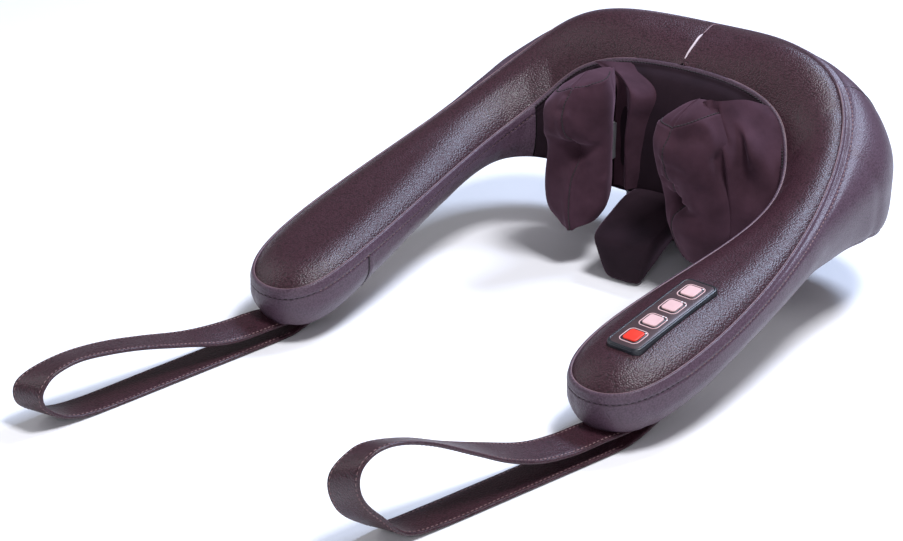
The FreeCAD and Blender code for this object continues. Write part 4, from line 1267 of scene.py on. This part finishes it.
def make_panel():
    """The bezel, the face plate, the keys and the status lights."""
    half_w, half_l = PANEL_WIDTH / 2.0, PANEL_LENGTH / 2.0
    levels = [(0.0, -6.5)] + round_edge(1.7, 0.7) + [(2.1, FACE_TOP), (2.2, 0.2), (2.25, -1.0)]
    bezel = stacked("panel_bezel", half_w, half_l, PANEL_CORNER, levels, lid=False, floor=False)
    finish_piece(bezel, "gloss_black")
    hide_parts("panel_bezel")
    levels = [(0.0, -1.6), (0.0, 0.3), (0.25, FACE_TOP)]
    face = stacked("panel_face", half_w - BEZEL_WALL, half_l - BEZEL_WALL, FACE_CORNER, levels)
    finish_piece(face, "panel_film")
    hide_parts("panel_face")
    dots = []
    for k, name in enumerate(KEY_NAMES):
        y = (k - 1.5) * KEY_PITCH
        make_key(name, y)
        for x, ahead in SINGLE_LED if k in (0, 3) else THREE_LEDS:
            dots.append((x, y + ahead))
    levels = [(0.0, 0.4), (0.0, 0.72), (0.2, 0.86)]
    lights = join([stacked("led", LED_HALF, LED_HALF, 0.5, levels, dot) for dot in dots],
                  "status_leds")
    finish_piece(lights, "led_lens")
    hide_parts("status_leds")


def join(pieces, name):
    """Several meshes as one object."""
    with bpy.context.temp_override(active_object=pieces[0], selected_editable_objects=pieces):
        bpy.ops.object.join()
    pieces[0].name = name
    pieces[0].data.name = name
    return pieces[0]


# ================= the CAD pieces that stay =================

def dress_frame():
    """Every CAD node gets its slot's procedural material."""
    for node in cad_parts.values():
        for holder in node.material_slots:
            key = holder.material.name.split(".")[0] if holder.material else ""
            if key in MATERIALS:
                holder.material = MATERIALS[key]


# ================= floor, light and camera =================

CAMERA_AZIMUTH = math.radians(37.6)
CAMERA_ELEVATION = math.radians(23.0)
CAMERA_TARGET = Vector((0.0, -0.0613, 0.0806))
CAMERA_DISTANCE = 1.5857
CAMERA_LENS = 93.09


def look_from(place_at, target):
    return (Vector(target) - Vector(place_at)).to_track_quat("-Z", "Y")


def make_light(name, position, size, power, colour, target=(0.0, 0.0, 0.08)):
    lamp = bpy.data.lights.new(name, "AREA")
    lamp.shape = "RECTANGLE"
    lamp.size, lamp.size_y = size
    lamp.energy = power
    lamp.color = colour
    holder = bpy.data.objects.new(name, lamp)
    holder.location = position
    holder.rotation_mode = "QUATERNION"
    holder.rotation_quaternion = look_from(position, target)
    bpy.context.scene.collection.objects.link(holder)


# Metres: half the floor's width, and how far it lies below the object.
FLOOR_REACH = 14.0
FLOOR_GAP = 0.0004
# Name, place, size, power and colour of each soft light.
LIGHTS = [
    ("back_softbox", (0.27, 1.24, 1.75), (0.7, 0.5), 42.0, (0.64, 0.75, 1.0)),
    ("key_softbox", (0.75, -0.1, 2.0), (0.5, 0.5), 42.0, (0.94, 0.94, 1.0)),
    ("front_softbox", (1.2, -1.9, 1.0), (1.2, 1.0), 15.0, (0.92, 0.90, 1.0)),
    ("left_softbox", (-1.7, -0.6, 1.2), (1.2, 1.2), 10.0, (0.95, 0.95, 1.0)),
]


def make_stage():
    """The pale floor, the studio lights and the camera."""
    floor_mesh = bpy.data.meshes.new("floor")
    z = cad_low[2] - FLOOR_GAP
    corners = [(x * FLOOR_REACH, y * FLOOR_REACH, z) for x, y in ((-1, -1), (1, -1), (1, 1), (-1, 1))]
    floor_mesh.from_pydata(corners, [], [(0, 1, 2, 3)])
    floor = bpy.data.objects.new("floor", floor_mesh)
    bpy.context.scene.collection.objects.link(floor)
    paper = Surface("floor_paper", 0.75, specular=0.1)
    paper.colour(paper.noise(0.4, 2.0), (0.86, 0.865, 0.875), (0.88, 0.885, 0.89))
    floor_mesh.materials.append(paper.material)
    world = bpy.data.worlds.new("studio")
    world.use_nodes = True
    background = world.node_tree.nodes["Background"]
    background.inputs["Color"].default_value = (0.93, 0.95, 1.0, 1.0)
    background.inputs["Strength"].default_value = 0.18
    bpy.context.scene.world = world
    bpy.context.scene.view_settings.view_transform = "Standard"
    for light in LIGHTS:
        make_light(*light)
    camera_data = bpy.data.cameras.new("camera")
    camera_data.lens = CAMERA_LENS
    camera_data.sensor_width = 36.0
    camera = bpy.data.objects.new("camera", camera_data)
    flat = math.cos(CAMERA_ELEVATION)
    offset = Vector((math.sin(CAMERA_AZIMUTH) * flat, -math.cos(CAMERA_AZIMUTH) * flat,
                     math.sin(CAMERA_ELEVATION)))
    camera.location = CAMERA_TARGET + offset * CAMERA_DISTANCE
    camera.rotation_mode = "QUATERNION"
    camera.rotation_quaternion = look_from(camera.location, CAMERA_TARGET)
    bpy.context.scene.collection.objects.link(camera)
    bpy.context.scene.camera = camera


dress_frame()
make_collar()
make_claws()
for strap_side in (RIGHT, LEFT):
    make_strap(strap_side)
make_panel()
make_stage()
